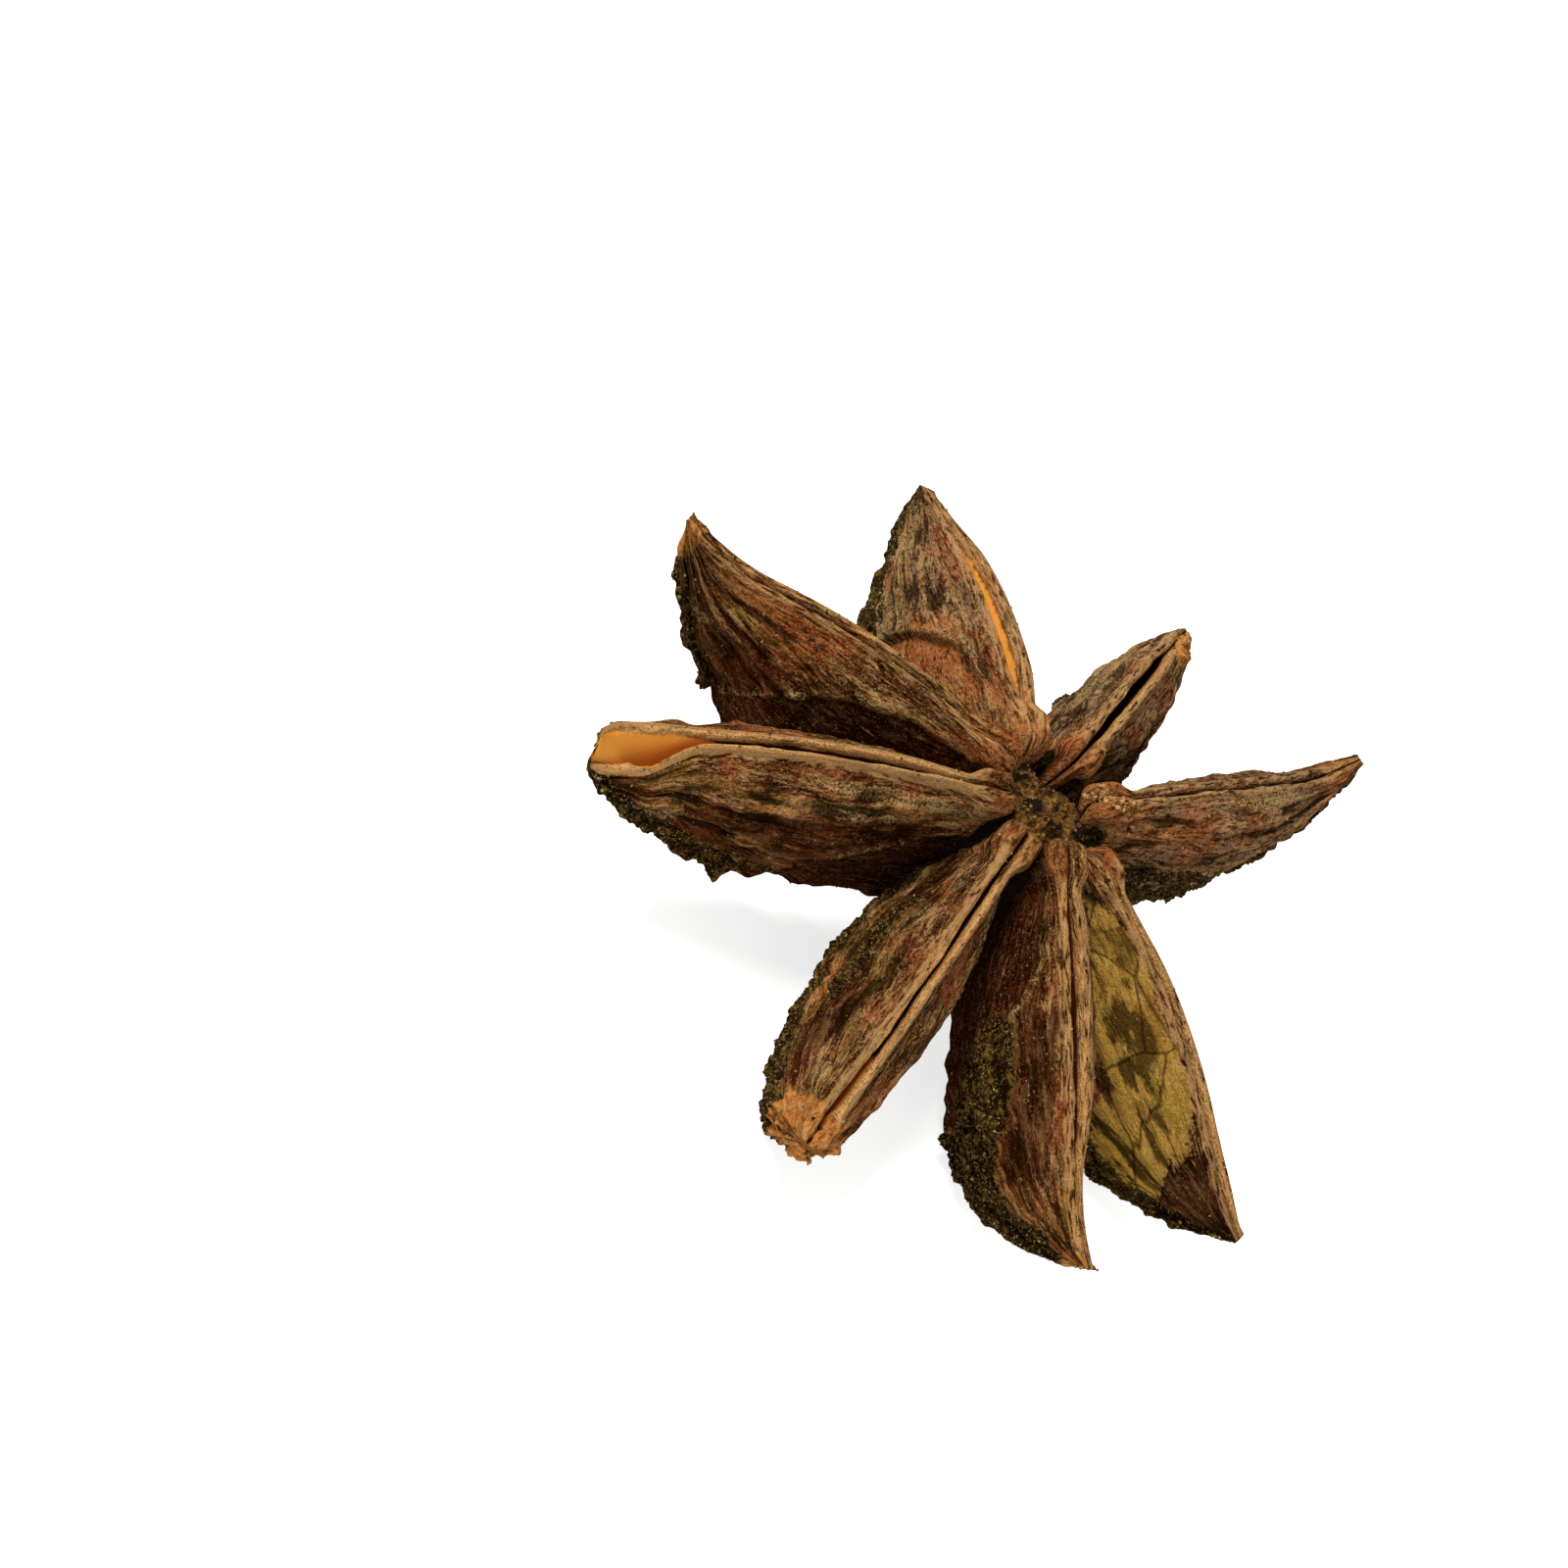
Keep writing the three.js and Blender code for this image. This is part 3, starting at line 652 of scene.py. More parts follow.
def woody_rind(colours):
    """Dried pericarp: the dull, fibrous, red-brown rind of the carpels. Its fibres catch tan
    along the seams, dark crust hides it near the keels, and the inside is smooth and orange.
    Painted shade darkens the lower flanks, the hollows of the relief and the inside of the
    seams where the clean wall doesn't show.
    """
    material, shader = new_material("woody_pericarp_rind")
    tree = material.node_tree
    add = partial(add_node, tree)
    grain = add("ShaderNodeAttribute", attribute_name="grain").outputs["Vector"]
    metres = add("ShaderNodeTexCoord").outputs["Object"]
    flat = add("ShaderNodeMapping", {"Vector": metres, "Scale": (1 / MM,) * 3}).outputs[0]
    patterns = rind_patterns(add, flat, grain)

    def sharpened(value, low, high, strength):
        """The value with its contrast raised: none at low, and the full strength at high."""
        ends = {"Value": value, "From Min": low, "From Max": high, "To Max": strength}
        return add("ShaderNodeMapRange", ends, interpolation_type="SMOOTHSTEP").outputs[0]

    def patterned(name, low, high, strength=1.0):
        return sharpened(patterns[name], low, high, strength)

    def marked(name, breaking, reach, low, high, strength=1.0):
        """A mark on the mesh with its edge broken up by a pattern."""
        mark = add("ShaderNodeAttribute", attribute_name=name).outputs["Fac"]
        noise = add("ShaderNodeMath", {0: patterns[breaking], 1: 0.5}, operation="SUBTRACT")
        terms = {0: noise.outputs[0], 1: reach, 2: mark}
        broken = add("ShaderNodeMath", terms, operation="MULTIPLY_ADD")
        return sharpened(broken.outputs[0], low, high, strength)

    crust = marked("crust", "mottle", 1.1, 0.45, 0.62)
    lip = marked("lip", "fibres", 1.0, 0.45, 0.85)
    wall = marked("wall", "mottle", 0.3, 0.4, 0.7)
    pale_wall = marked("pale_wall", "mottle", 0.6, 0.4, 0.7)
    facet = marked("facet", "blotches", 0.7, 0.3, 0.7)
    papery = marked("papery", "mottle", 0.7, 0.42, 0.58)
    papery_edge = marked("papery", "mottle", 0.9, 0.2, 0.4)
    raw = marked("raw", "blotches", 2.2, 0.4, 0.7)
    rubbed = marked("rubbed", "fibres", 2.4, 0.35, 0.8)
    rosy = marked("rosy", "blotches", 1.2, 0.3, 0.8)
    stain = marked("stain", "blotches", 1.8, 0.35, 0.8)
    dust = marked("dust", "mottle", 1.2, 0.4, 0.7)
    pale = marked("pale", "clouds", 1.5, 0.0, 1.0)
    raised = marked("relief", "hairs", 0.6, 0.55, 0.8, 0.45)
    # Painted shade: where the relief lies low, in its hollows.
    hollow = marked("relief", "hairs", 0.3, 0.42, 0.2)
    # Fibres lie thicker in some places, and thin on the facets, the dark stains and the painted
    # shade.
    smooth = add("ShaderNodeMath", {0: facet, 1: stain}, operation="MAXIMUM").outputs[0]
    bare = add("ShaderNodeMath", {0: smooth, 1: -0.75, 2: 1.0}, operation="MULTIPLY_ADD")
    bare = bare.outputs[0]
    thick = {0: patterned("blotches", 0.6, 0.42), 1: bare}
    spread = add("ShaderNodeMath", thick, operation="MULTIPLY").outputs[0]
    sand, chosen = sand_specks(add, flat, 0.45)

    # Each layer of paint, from the first to the last: where it lies, how much of it, and what.
    colour = colours.rind
    for where, amount, paint in (
        (1.0, patterned("clouds", 0.44, 0.62, 0.7), "rind_red"),
        (1.0, patterned("tones", 0.5, 0.62, 0.5), "rind_olive"),
        (1.0, patterned("tones", 0.5, 0.36, 0.85), "rind_purple"),
        (pale, patterned("mottle", 0.62, 0.42, 0.75), "rind_pale"),
        (1.0, patterned("blotches", 0.54, 0.72, 0.45), "rind_dark"),
        (rosy, 0.85, "rosy"),
        # Stains and painted shade, in the facets' dark red-brown.
        (stain, 0.8, "facet"),
        (raised, bare, "fibre"),
        (facet, 0.9, "facet"),
        (papery_edge, 0.85, "rind_dark"),
        (papery, 0.95, "papery"),
        (papery, patterned("blotches", 0.54, 0.68, 0.3), "papery_dark"),
        (bare, patterned("furrows", 0.54, 0.68, 0.4), "fibre"),
        (1.0, patterned("furrows", 0.47, 0.34, 0.75), "rind_dark"),
        (1.0, patterned("mottle", 0.52, 0.72, 0.6), "rind_dark"),
        (spread, patterned("fibres", 0.5, 0.7, 0.7), "fibre"),
        (spread, patterned("hairs", 0.5, 0.7, 0.4), "fibre"),
        (bare, patterned("clouds", 0.48, 0.6, 0.4), "rind_red"),
        (bare, patterned("grit", 0.54, 0.7, 0.5), "dust"),
        (1.0, patterned("hairs", 0.47, 0.32, 0.6), "rind_dark"),
        (1.0, patterned("fibres", 0.46, 0.32, 0.8), "rind_dark"),
        (1.0, patterned("grit", 0.46, 0.3, 0.5), "rind_dark"),
        (papery, 0.45, "papery"),
        (papery, skin_cracks(add, flat, 0.7), "rind_dark"),
        (dust, patterned("grit", 0.38, 0.66, 0.7), "dust"),
        (crust, 0.9, "crust"),
        (crust, patterned("mottle", 0.5, 0.66, 0.5), "rind_olive"),
        (crust, patterned("grit", 0.54, 0.72, 0.5), "dust"),
        (rubbed, 0.55, "fibre"),
        (lip, 0.75, "lip"),
        (lip, patterned("grit", 0.48, 0.34, 0.5), "rind_dark"),
        (lip, patterned("blotches", 0.52, 0.68, 0.5), "rind_red"),
        # Painted shade: the inside of a seam is drawn dark, except where the clean orange wall
        # shows.
        (wall, 1.0, "wall_shade_and_dark_wood"),
        (pale_wall, 1.0, "wall"),
        (raw, 1.0, "raw"),
        (raw, patterned("mottle", 0.5, 0.62, 0.6), "fibre"),
        (raw, patterned("mottle", 0.46, 0.34, 0.6), "wall_shade_and_dark_wood"),
        # Painted shade: the hollows of the relief are drawn in the crust's near-black.
        (hollow, 0.8, "crust"),
        (facet, patterned("grit", 0.62, 0.72, 0.3), "fibre"),
        (sand, chosen, "sand"),
    ):
        mask = add("ShaderNodeMath", {0: where, 1: amount}, operation="MULTIPLY").outputs[0]
        paints = {0: mask, 6: colour, 7: getattr(colours, paint)}
        colour = add("ShaderNodeMix", paints, data_type="RGBA").outputs[2]
    tree.links.new(colour, shader.inputs["Base Color"])

    dullness = {"Value": patterns["mottle"], "To Min": 0.75, "To Max": 0.95}
    roughness = add("ShaderNodeMapRange", dullness).outputs[0]
    for mask, value in ((facet, 0.7), (wall, 0.6), (crust, 0.95)):
        parts = {0: mask, 2: roughness, 3: value}
        roughness = add("ShaderNodeMix", parts, data_type="FLOAT").outputs[0]
    tree.links.new(roughness, shader.inputs["Roughness"])
    shader.inputs["Specular IOR Level"].default_value = 0.0

    height = 0.0
    depths = {"furrows": 1.2, "fibres": 0.8, "hairs": 0.6, "mottle": 0.9, "grit": 0.8}
    for pattern, depth in depths.items():
        terms = {0: patterns[pattern], 1: depth, 2: height}
        height = add("ShaderNodeMath", terms, operation="MULTIPLY_ADD").outputs[0]
    # The inner wall is smoother than the rind.
    calm = add("ShaderNodeMath", {0: wall, 1: -0.8, 2: 1.0}, operation="MULTIPLY_ADD")
    relief = {"Height": height, "Distance": 0.12 * MM, "Strength": calm.outputs[0]}
    bump = add("ShaderNodeBump", relief)
    tree.links.new(bump.outputs["Normal"], shader.inputs["Normal"])
    return material


def dry_grains(name, darkest, palest):
    """Grains of dried dirt or torn wood: each one its own shade between two colours."""
    material, shader = new_material(name)
    tree = material.node_tree
    island = add_node(tree, "ShaderNodeNewGeometry").outputs["Random Per Island"]
    shades = {0: island, 6: darkest, 7: palest}
    colour = add_node(tree, "ShaderNodeMix", shades, data_type="RGBA").outputs[2]
    tree.links.new(colour, shader.inputs["Base Color"])
    shader.inputs["Specular IOR Level"].default_value = 0.05
    return material


def crumbly_tissue(colours):
    """Dry, crumbly plant tissue: dull olive brown, with painted shade, nearly black, in its
    hollows.
    """
    material, shader = new_material("crumbly_tissue")
    tree = material.node_tree
    add = partial(add_node, tree)
    place = add("ShaderNodeTexCoord").outputs["Object"]
    scale = 1 / (TISSUE_GRAIN * MM)
    fine = add("ShaderNodeTexNoise", {"Vector": place, "Scale": scale, "Detail": 4})
    grains = fine.outputs[0]
    relief = add("ShaderNodeAttribute", attribute_name="relief").outputs["Fac"]
    colour = colours.tissue
    for value, low, high, paint in (
        (grains, 0.5, 0.65, "tissue_pale"),
        (grains, 0.45, 0.33, "tissue_dark"),
        # Painted shade: where the relief mark is low, in the hollows, the hole, towards the
        # edge and below the top.
        (relief, 0.5, 0.25, "tissue_shade"),
    ):
        mask = add("ShaderNodeMapRange", {"Value": value, "From Min": low, "From Max": high})
        paints = {0: mask.outputs[0], 6: colour, 7: getattr(colours, paint)}
        colour = add("ShaderNodeMix", paints, data_type="RGBA").outputs[2]
    tree.links.new(colour, shader.inputs["Base Color"])
    shader.inputs["Specular IOR Level"].default_value = 0.05
    bump = add("ShaderNodeBump", {"Height": grains, "Distance": 0.15 * MM})
    tree.links.new(bump.outputs["Normal"], shader.inputs["Normal"])
    return material


def matt_white_paper(colours):
    """Plain, matt white paper, lit a little from below."""
    material, shader = new_material("matt_white_paper")
    shader.inputs["Base Color"].default_value = colours.paper
    shader.inputs["Emission Color"].default_value = (1, 1, 1, 1)
    shader.inputs["Emission Strength"].default_value = FLOOR_GLOW
    return material


# ---- Settings ----


class StarAniseSizes(bpy.types.PropertyGroup):
    """Sizes of the relief and of the stage."""

    ridges: FloatProperty(
        name="Ridges", description="Height of the long ridges on a flank",
        default=0.13 * MM, unit="LENGTH",
    )
    wrinkles: FloatProperty(
        name="Wrinkles", description="Height of the fine wrinkles on a flank",
        default=0.05 * MM, unit="LENGTH",
    )
    lumps: FloatProperty(
        name="Lumps", description="Height of the broad lumps on a flank",
        default=0.12 * MM, unit="LENGTH",
    )
    crust: FloatProperty(
        name="Crust", description="Height of the crust's crumbs near a keel",
        default=0.22 * MM, unit="LENGTH",
    )
    floor: FloatProperty(
        name="Floor", description="Length and width of the floor", default=1.6,
        unit="LENGTH",
    )
    seed: IntProperty(name="Seed", description="Picks the wrinkles", default=7, min=0)


def colour_setting(name, code, description):
    return FloatVectorProperty(
        name=name, description=description, subtype="COLOR", size=4, min=0, max=1,
        default=hex_to_linear(code),
    )


class StarAniseColours(bpy.types.PropertyGroup):
    """Colours of the rind, the tissue in the middle and the floor."""

    rind: colour_setting("Rind", "#52290d", "The darkest flanks")
    rind_pale: colour_setting("Paler rind", "#8f7458", "The palest flanks")
    rind_red: colour_setting("Redder rind", "#7a3614", "Broad patches of a flank")
    rind_olive: colour_setting("Olive rind", "#70561f", "Broad streaks of a flank")
    rind_purple: colour_setting("Purplish rind", "#341308", "Broad streaks of a flank")
    rind_dark: colour_setting("Darker rind", "#160501", "Blotches and the gaps between fibres")
    fibre: colour_setting("Fibres", "#a98050", "Fibres that stand out and are rubbed pale")
    dust: colour_setting("Dust", "#968052", "Olive dust, and grains in the crust")
    # Also painted for the stains and for the painted shade on the lower flanks.
    facet: colour_setting("Facets", "#280802", "Smooth places that were pressed together")
    papery: colour_setting("Papery skin", "#9a7630", "The loose skin on one flank")
    papery_dark: colour_setting("Stained skin", "#4e3408", "Stains on the loose skin")
    crust: colour_setting("Crust", "#130801", "The crust near the keels")
    lip: colour_setting("Lips", "#b98a52", "The woody edges of the seams")
    wall: colour_setting("Inner wall", "#d08a38", "The smooth inside of a seam")
    wall_shade_and_dark_wood: colour_setting("Dark inner wall", "#3a160a", "The inside of a narrow seam")
    # Painted shade inside the seams, and also the dark of broken wood and of torn splinters.
    raw: colour_setting("Broken wood", "#a66a32", "Broken ends and worn tips")
    rosy: colour_setting("Rosy stain", "#93582c", "Red-brown stains on a flank")
    sand: colour_setting("Sand", "#b59f72", "Pale grains that stick to the rind")
    tissue: colour_setting("Tissue", "#523616", "The column's crumbly top")
    tissue_pale: colour_setting("Paler tissue", "#86652e", "The tissue's pale grains")
    tissue_dark: colour_setting("Darker tissue", "#2c1a10", "The tissue's dark grains")
    # Painted shade in the tissue's hollows, its hole and towards its edge.
    tissue_shade: colour_setting("Hollow tissue", "#1a0f09", "The tissue's hollows")
    paper: colour_setting("Floor", "#c4c4c2", "The matt floor")


# ---- Pieces ----


def carpel_place(carpel):
    """The carpel's own frame, from the seam's meeting point on the axis, in the pod's."""
    turn = (
        Matrix.Rotation(math.radians(carpel["azimuth"]), 3, "Z")
        @ Matrix.Rotation(math.radians(-carpel["pitch"]), 3, "Y")
        @ Matrix.Rotation(math.radians(carpel["lean"]), 3, "X")
    )
    return np.array(turn), np.array([*AXIS, SEAM_HEIGHT])


def rind_grain(x, along, section, seed):
    """Places in the rind's grain, in mm: along the carpel, and round a tube as big as its
    widest section. Returned straight, and swaying a little from side to side."""
    widest = section[np.argmax(along > 0.45)]
    steps = np.linalg.norm(np.diff(widest, axis=0), axis=1)
    round_ = np.append(0, np.cumsum(steps))
    tube = round_[-1] / (2 * math.pi)
    angle = round_ / tube
    straight = np.stack(
        np.broadcast_arrays(
            x[:, None] + seed % 97, tube * np.cos(angle)[None], tube * np.sin(angle)[None]
        ),
        -1,
    )
    wavy = straight.copy()
    wavy[..., 1] += FIBRE_WAVE * grain_noise(straight, WAVE_GRAIN, seed + 50)
    wavy[..., 2] += FIBRE_WAVE * grain_noise(straight, WAVE_GRAIN, seed + 60)
    return straight, wavy


def flank_marks(carpel, x, below, on_left):
    """How strongly each kind of mark shows, from 0 to 1, at each point of a carpel."""
    marks = {kind: 0 * below for kind in MARK_KINDS}
    for kind, side, out_at, below_at, length, height, slant in carpel["marks"]:
        spot = blot(x[:, None] - out_at, below - below_at, length, height, slant)
        marks[kind] = np.maximum(marks[kind], spot * (on_left == (side > 0)))
    return marks


def pressed_facets(carpel, x, sunk, depth, ragged, on_left):
    """The smooth facets, where the carpels were pressed together, the crumbly ridge round
    them, and the hollow just below that ridge."""
    facet = 0 * sunk
    rim = 0 * sunk
    undercut = 0 * sunk
    for side, pressed in zip((True, False), carpel["facets"]):
        if pressed is None:
            continue
        start, reach, top = pressed
        way = np.clip((x - start) / (reach - start), 0, 2)[:, None]
        edge = top + (1 - top) * way**5 - 0.12 * (1 - smoothstep(way, 0, 0.15))
        inside = (sunk - edge) * depth + 0.12 * ragged
        here = (on_left == side) & (x[:, None] < reach + 0.5)
        facet += smoothstep(inside, 0, 0.3) * here
        shown = here * smoothstep(way, 0.2, 0.5) * carpel["rim"]
        rim += np.exp(-(((inside + 0.14) / 0.2) ** 2)) * shown
        undercut += smoothstep(inside, 0, 0.25) * np.exp(-np.abs(inside) / 0.6) * shown
    return facet, rim, undercut


def make_carpel(name, carpel, half_gap_left, half_gap_right, sizes, material):
    """One carpel, from its closed sections along the seam, with the rind's relief and marks.
    The half gaps are half the angles to its neighbours, in radians."""
    even = np.linspace(0, 1, STATIONS)
    share = (even + 1 - (1 - even) ** 1.6) / 2  # closer together near the beak
    x, along, sway, arch = seam_at(carpel, share)

    # The closed section starts at the keel, goes up the right side, down into the seam, up
    # again and down the left side.
    right = half_sections(carpel, x, along, -1, half_gap_right)[:, ::-1]
    left = half_sections(carpel, x, along, 1, half_gap_left)[:, 1:-1]
    ring = np.concatenate([right * (-1, 1, 1), left], 1)
    section, row = smooth_through(ring, ROW_SAMPLES[::-1] + ROW_SAMPLES)
    rows = len(ROW_SAMPLES)
    from_floor = np.abs(row - rows)
    on_left = row > rows

    out, down, further = np.moveaxis(section, -1, 0)
    local = np.stack([x[:, None] + further, sway[:, None] + out, arch[:, None] - down], -1)
    turn, origin = carpel_place(carpel)
    points = local @ turn.T + origin

    seed = int(sizes.seed + carpel["azimuth"] * 10 + 1000)
    grain, wavy = rind_grain(x, along, section, seed)
    ragged = grain_noise(grain, RAGGED_GRAIN, seed + 40, 3)
    depth = depth_at(carpel, x, along)[:, None]
    sunk = np.clip(down / depth, 0, 1)

    # Where the parts of a carpel lie and what shows on them, each from 0 to 1.
    flank = smoothstep(from_floor, 3.8, 5.0)[None] + 0 * sunk
    lip = swell(1.3, 1.8, 2.1, 3.0, from_floor)[None] * smoothstep(along, 0.05, 0.2)[:, None]
    rubbed = swell(1.6, 2.4, 3.4, 4.4, from_floor)[None] * smoothstep(along, 0.0, 0.1)[:, None]
    wall = 1 - smoothstep(from_floor, 1.5, 2.0)[None] + 0 * sunk
    shown_from, shown_to, clean = carpel["pale_wall"]
    wall_shows = swell(
        shown_from - 0.6, shown_from + 0.6, shown_to - 0.6, shown_to + 0.6, x
    )[:, None]
    nose = (1 - smoothstep(x - carpel["starts"], 1.0, 4.5))[:, None] * (from_floor > 1.5)
    keel = smoothstep(sunk, 0.86, 0.99) * flank
    # Painted shade: the flank is drawn darker further below its lip, towards the keel, and is
    # stored with the stains.
    low = smoothstep(sunk + 0.15 * ragged, 0.1, 0.6) * flank
    marks = flank_marks(carpel, x, below_crest(section, row), on_left)
    facet, rim, undercut = pressed_facets(carpel, x, sunk, depth, ragged, on_left)
    facet *= flank
    crust_line = np.where(on_left, *carpel["crust"])
    crust = smoothstep(sunk + 0.2 * ragged, crust_line - 0.05, crust_line + 0.1) * flank
    crust = np.maximum(crust * (1 - 0.85 * facet), marks["crust"])
    inner_end = 1 - smoothstep(x - carpel["starts"], 0.25, 0.9)[:, None]
    crust = np.maximum(crust, inner_end * smoothstep(sunk * depth, 0.55, 0.9))

    ridges = billow(wavy, RIDGE_GRAIN, seed, 2)
    wrinkles = billow(wavy, WRINKLE_GRAIN, seed + 10, 2)
    broad = grain_noise(grain, LUMP_GRAIN, seed + 20, 2)
    crags = grain_noise(grain, CRAG_GRAIN, seed + 25, 2)
    crumbs = grain_noise(grain, CRUST_GRAIN, seed + 30, 3)
    grit = grain_noise(grain, GRIT_GRAIN, seed + 35, 2)
    rough = flank * (1 - 0.75 * facet)
    torn = carpel["torn"] * lip * smoothstep(along, 0.76, 0.82)[:, None]
    surface = (
        sizes.ridges / MM * ridges * rough
        + sizes.wrinkles / MM * wrinkles * (rough + 0.7 * lip)
        + sizes.lumps / MM * broad * (rough + 0.5 * lip)
        + sizes.crust / MM * (smoothstep(crumbs, -0.3, 0.4) + 0.35 * grit) * crust
    )
    relief = (
        surface
        + KEEL_CRAGS * crags * keel
        + RIM_HEIGHT * rim * (1 + 0.9 * crumbs + 0.5 * grit)
        - RIM_OVERHANG * undercut
        - FACET_SINK * facet
        + SKIN_LIFT * marks["papery"]
        + SPLINTERS * crumbs * marks["raw"]
        + TORN_EDGE * crumbs * torn
    )
    ends = np.minimum(smoothstep(along, 0, 0.06), 1 - smoothstep(along, 0.96, 1.0))[:, None]
    slim = np.minimum(1, breadth_at(carpel, along, 1) / 0.9)[:, None]
    moved = points + outward(points) * (relief * ends * slim)[..., None]
    moved[0] = moved[0].mean(0)
    moved[-1] = moved[-1].mean(0)
    moved[..., 2] = np.maximum(moved[..., 2], 0)  # the table

    piece, order = sheet(f"carpel_{name}", STATIONS, len(row))
    stored = {
        "grain": wavy,
        "lip": lip * (0.2 + carpel["lip_tint"]),
        "rubbed": rubbed * (0.35 + 0.6 * carpel["lip_tint"]),
        "wall": wall,
        "pale_wall": wall * wall_shows * clean,
        "crust": crust,
        "facet": facet * carpel["facet_tint"],
        "papery": marks["papery"],
        "raw": marks["raw"],
        "rosy": np.maximum(0.85 * marks["rosy"], nose * (0.4 + 0.6 * carpel["pale"])),
        # Stain marks, and the painted shade of the lower flank on the less pale carpels.
        "stain": np.maximum(marks["stain"], low * (1 - carpel["pale"])),
        "dust": np.maximum(0.3 + 0.5 * rim, marks["dust"]),
        # The relief's height; the rind paints its hollows dark as shade.
        "relief": np.clip(0.5 + surface / 0.3, 0, 1),
        "pale": carpel["pale"] + 0 * sunk,
    }
    fill_sheet(piece, order, moved, stored)
    declare(piece, material)


class BuildCarpels(bpy.types.Operator):
    """Builds the eight carpels with their seams, lips, wrinkles and crust"""

    bl_idname = "star_anise.build_carpels"
    bl_label = "Build Carpels"

    def execute(self, context):
        sizes = context.scene.star_anise_sizes
        material = woody_rind(context.scene.star_anise_colours)
        names = list(CARPELS)
        azimuths = [CARPELS[name]["azimuth"] for name in names]
        for i, name in enumerate(names):
            half_gaps = [
                math.radians(((azimuths[b % 8] - azimuths[a % 8]) % 360) / 2)
                for a, b in ((i, i + 1), (i - 1, i))
            ]
            carpel = {**PLAIN_CARPEL, **CARPELS[name]}
            make_carpel(name, carpel, *half_gaps, sizes, material)
        return {"FINISHED"}


class BuildColumn(bpy.types.Operator):
    """Builds the crumbly column in the middle, with its hole and the stalk's scar"""

    bl_idname = "star_anise.build_column"
    bl_label = "Build Column"

    def execute(self, context):
        profile = np.array([
            (0, COLUMN_BOTTOM - SCAR_HEIGHT * 0.7),
            (SCAR_RADIUS * 0.6, COLUMN_BOTTOM - SCAR_HEIGHT),
            (SCAR_RADIUS, COLUMN_BOTTOM - SCAR_HEIGHT * 0.8),
            (SCAR_RADIUS * 1.2, COLUMN_BOTTOM),
            (COLUMN_RADIUS, COLUMN_BOTTOM + 0.6),
            (COLUMN_RADIUS, COLUMN_TOP - 1.5),
            (COLUMN_RADIUS * 0.84, COLUMN_TOP - 0.8),
            (COLUMN_RADIUS * 0.6, COLUMN_TOP - 0.25),
            (COLUMN_RADIUS * 0.35, COLUMN_TOP),
            (0, COLUMN_TOP - 0.1),
        ])
        knots = np.append(0, np.cumsum(np.linalg.norm(np.diff(profile, axis=0), axis=1)))
        steps = np.linspace(0, knots[-1], COLUMN_STATIONS)
        radius = np.interp(steps, knots, profile[:, 0])[:, None]
        height = np.interp(steps, knots, profile[:, 1])[:, None]
        angle = np.linspace(0, 2 * math.pi, COLUMN_ROUND)[None]
        hole_angle = math.radians(HOLE_AZIMUTH)
        swelling = 1 + 0.07 * np.sin(5 * angle + height) + 0.05 * np.sin(3 * angle)
        leaning = smoothstep(np.cos(angle - math.radians(DIP_AZIMUTH)), -0.6, 1)
        upper = smoothstep(height, COLUMN_TOP - 3, COLUMN_TOP - 1)
        drop = TOP_DIP * radius / COLUMN_RADIUS * leaning * upper
        x = radius * swelling * np.cos(angle)
        y = radius * swelling * np.sin(angle)
        points = np.stack(np.broadcast_arrays(AXIS[0] + x, AXIS[1] + y, height - drop), -1)
        normals = outward(points[:, ::-1])[:, ::-1]
        crumbs = grain_noise(points, COLUMN_GRAIN, 91, 4)
        relief = (0.12 + 0.2 * upper) * crumbs * np.minimum(1, radius / 0.4)
        moved = points - normals * relief[..., None]
        from_hole = np.hypot(
            x - HOLE_OUT * math.cos(hole_angle), y - HOLE_OUT * math.sin(hole_angle)
        )
        sunk = (1 - smoothstep(from_hole, 0.5 * HOLE_RADIUS, 1.2 * HOLE_RADIUS)) * upper
        moved[..., 2] -= HOLE_DEPTH * sunk
        relief = relief - 0.6 * sunk
        moved[0] = moved[0].mean(0)
        moved[-1] = moved[-1].mean(0)
        piece, order = sheet("column", COLUMN_STATIONS, COLUMN_ROUND)
        # Painted shade: the relief mark is lowered in the hole, towards the edge and below the
        # top, where the tissue draws it near-black.
        shaded = smoothstep(radius, 1.5, 2.1) + smoothstep(height, 8.4, 7.8)
        fill_sheet(piece, order, moved, {"relief": 0.5 + relief / 0.5 - 0.5 * shaded})
        declare(piece, crumbly_tissue(context.scene.star_anise_colours))
        return {"FINISHED"}


def scatter(name, places, sizes, draws, material):
    """One piece of many small angular crumbs, one at each place, sizes and places in mm."""
    heap = bmesh.new()
    for place, size in zip(places, sizes):
        turn = Matrix.Rotation(draws.uniform(0, 2 * math.pi), 4, draws.normal(size=3))
        shape = Matrix.Diagonal((*(size * MM * draws.uniform(0.6, 1.25, 3)), 1))
        crumb = bmesh.ops.create_icosphere(
            heap, subdivisions=1, radius=0.5,
            matrix=Matrix.Translation(Vector(place) * MM) @ turn @ shape,
        )
        for vert in crumb["verts"]:
            vert.co += Vector(draws.normal(size=3)) * (0.09 * size * MM)
    piece = new_piece(name, heap)
    relief = piece.data.attributes.new("relief", "FLOAT", "POINT")
    relief.data.foreach_set("value", draws.uniform(0.3, 0.8, len(piece.data.vertices)))
    declare(piece, material)


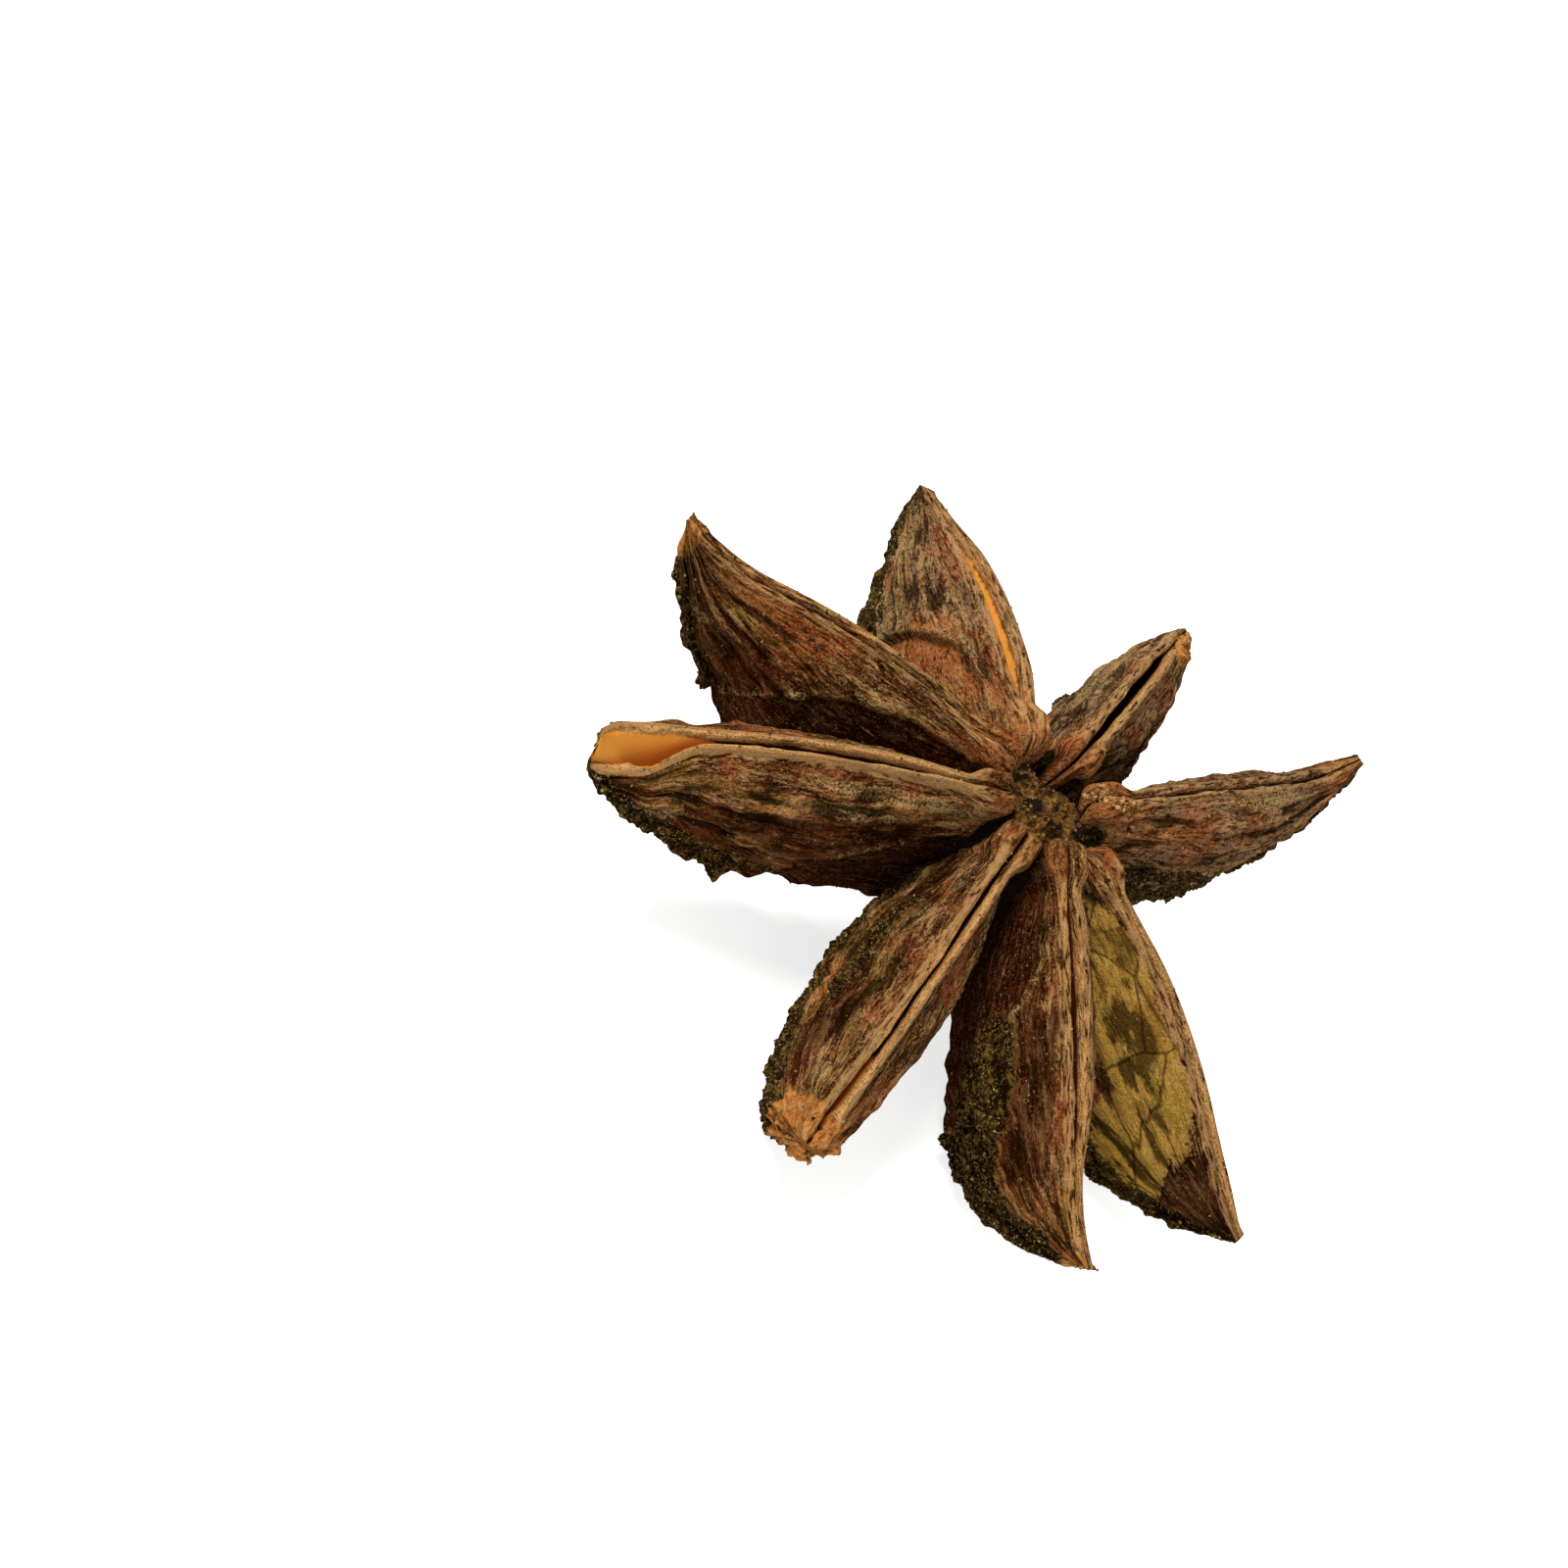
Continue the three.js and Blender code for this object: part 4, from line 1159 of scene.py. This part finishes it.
class BuildCrumbs(bpy.types.Operator):
    """Strews dry crumbs over the column's top and grains over the rind's crust and lips"""

    bl_idname = "star_anise.build_crumbs"
    bl_label = "Build Crumbs"

    def execute(self, context):
        sizes = context.scene.star_anise_sizes
        colours = context.scene.star_anise_colours
        draws = np.random.default_rng(sizes.seed)
        graph = context.evaluated_depsgraph_get()
        column = BVHTree.FromObject(bpy.data.objects["column"], graph)
        slender = BVHTree.FromObject(bpy.data.objects["carpel_slender"], graph)
        places = []
        while len(places) < COLUMN_CRUMBS:
            angle = draws.uniform(0, 2 * math.pi)
            far = CRUMBS_REACH * math.sqrt(draws.uniform())
            x, y = AXIS[0] + far * math.cos(angle), AXIS[1] + far * math.sin(angle)
            hit = column.ray_cast(Vector((x, y, ABOVE)) * MM, DOWN)[0]
            if hit and hit.z > (COLUMN_TOP - 1.6) * MM:
                places.append(hit / MM + Vector((0, 0, 0.02)))
        small = draws.uniform(0.08, 0.16, COLUMN_CRUMBS)
        crumb_sizes = small * draws.uniform(0.7, 2.0, COLUMN_CRUMBS)
        scatter("column_crumbs", places, crumb_sizes, draws, crumbly_tissue(colours))

        grains = dry_grains("olive_grains", colours.rind_dark, colours.dust)
        for name in CARPELS:
            mesh = bpy.data.objects[f"carpel_{name}"].data
            spots = vertex_places(mesh) / MM
            weights = {}
            for mark in ("crust", "rubbed", "facet", "wall"):
                weights[mark] = np.zeros(len(spots))
                mesh.attributes[mark].data.foreach_get("value", weights[mark])
            chance = weights["crust"] + 0.3 * weights["rubbed"] + 0.1
            chance *= (1 - 0.7 * weights["facet"]) * (1 - weights["wall"])
            chance = np.clip(chance, 0, None)
            chance[spots[:, 2] < 0.3] = 0  # none between the pod and the table
            picked = draws.choice(len(spots), CARPEL_GRAINS, p=chance / chance.sum())
            grain_sizes = draws.uniform(*GRAIN_SIZES, CARPEL_GRAINS)
            scatter(f"grains_{name}", spots[picked], grain_sizes, draws, grains)

        places = []
        turn = Matrix.Rotation(math.radians(TORN_SLANT), 2)
        for spread in draws.normal(size=(TORN_CRUMBS, 2)) * TORN_SPREAD:
            above = Vector((*(Vector(AXIS) + Vector(TORN_AT) + turn @ Vector(spread)), ABOVE))
            hits = [surface.ray_cast(above * MM, DOWN)[0] for surface in (column, slender)]
            top = max(hit.z for hit in hits if hit)
            places.append(Vector((above.x, above.y, top / MM + draws.uniform(0, 0.12))))
        splinters = dry_grains("torn_wood", colours.wall_shade_and_dark_wood, colours.lip)
        torn_sizes = draws.uniform(*TORN_SIZES, TORN_CRUMBS)
        scatter("torn_lip", places, torn_sizes, draws, splinters)
        return {"FINISHED"}


# The light, in metres and watts.
SKY_LIGHT = 0.55
LAMP_TARGET = (0, 0, 0.005)
LAMP_DISTANCE = 0.55
# Each lamp's name, direction from the target, size and power.
LAMPS = (
    ("key", (-0.55, -0.13, 0.81), 0.3, 4.2),
    ("fill", (0.6, -0.6, 0.5), 0.5, 0.8),
)


class BuildStage(bpy.types.Operator):
    """Sets up the floor, the soft studio light and the camera"""

    bl_idname = "star_anise.build_stage"
    bl_label = "Build Stage"

    def execute(self, context):
        scene = context.scene
        size = scene.star_anise_sizes.floor
        grid = bmesh.new()
        bmesh.ops.create_grid(grid, x_segments=1, y_segments=1, size=size / 2)
        floor = new_piece("floor", grid)
        floor.data.materials.append(matt_white_paper(scene.star_anise_colours))

        world = bpy.data.worlds.new("studio")
        world.use_nodes = True
        world.node_tree.nodes["Background"].inputs["Color"].default_value = (1, 1, 1, 1)
        world.node_tree.nodes["Background"].inputs["Strength"].default_value = SKY_LIGHT
        scene.world = world

        for name, direction, size, power in LAMPS:
            light = bpy.data.lights.new(name, "AREA")
            light.shape = "DISK"
            light.size = size
            light.energy = power
            lamp = bpy.data.objects.new(name, light)
            toward = Vector(direction).normalized()
            lamp.location = Vector(LAMP_TARGET) + toward * LAMP_DISTANCE
            lamp.rotation_euler = toward.to_track_quat("Z", "Y").to_euler()
            scene.collection.objects.link(lamp)
        place_camera(scene)
        scene.view_settings.view_transform = "Standard"
        return {"FINISHED"}


# Where the camera stands: how far it is tipped from straight down and rolled about its own
# line of sight, and where it is from the point at which the seams would meet, in mm to its
# own right, up and back.
TIP = 46.7
ROLL = 47.6
CAMERA_OFFSET = (-9.594, 0.524, 260.0)
LENS = 168.48


def place_camera(scene):
    turn = Matrix.Rotation(math.radians(TIP), 4, "X") @ Matrix.Rotation(
        math.radians(ROLL), 4, "Z"
    )
    meeting_point = Vector((*AXIS, SEAM_HEIGHT)) * MM
    data = bpy.data.cameras.new("camera")
    data.lens = LENS
    data.sensor_width = 36
    data.clip_start = 0.01
    camera = bpy.data.objects.new("camera", data)
    camera.matrix_world = (
        Matrix.Translation(meeting_point + (turn @ Vector(CAMERA_OFFSET)) * MM) @ turn
    )
    scene.collection.objects.link(camera)
    scene.camera = camera


class StarAnisePanel(bpy.types.Panel):
    """Lists the pod's pieces, its sizes and its colours"""

    bl_idname = "VIEW3D_PT_star_anise"
    bl_label = "Star Anise Pod"
    bl_space_type = "VIEW_3D"
    bl_region_type = "UI"
    bl_category = "Star Anise"

    def draw(self, context):
        for operator in OPERATORS:
            self.layout.operator(operator.bl_idname)
        for settings in (context.scene.star_anise_sizes, context.scene.star_anise_colours):
            column = self.layout.column()
            for name in settings.__annotations__:
                column.prop(settings, name)


OPERATORS = (BuildCarpels, BuildColumn, BuildCrumbs, BuildStage)
CLASSES = (StarAniseSizes, StarAniseColours, *OPERATORS, StarAnisePanel)


def register():
    for each in CLASSES:
        bpy.utils.register_class(each)
    bpy.types.Scene.star_anise_sizes = PointerProperty(type=StarAniseSizes)
    bpy.types.Scene.star_anise_colours = PointerProperty(type=StarAniseColours)


def unregister():
    del bpy.types.Scene.star_anise_colours
    del bpy.types.Scene.star_anise_sizes
    for each in reversed(CLASSES):
        bpy.utils.unregister_class(each)


def main():
    register()
    bpy.ops.star_anise.build_carpels()
    bpy.ops.star_anise.build_column()
    bpy.ops.star_anise.build_crumbs()
    bpy.ops.star_anise.build_stage()


if __name__ == "__main__":
    main()
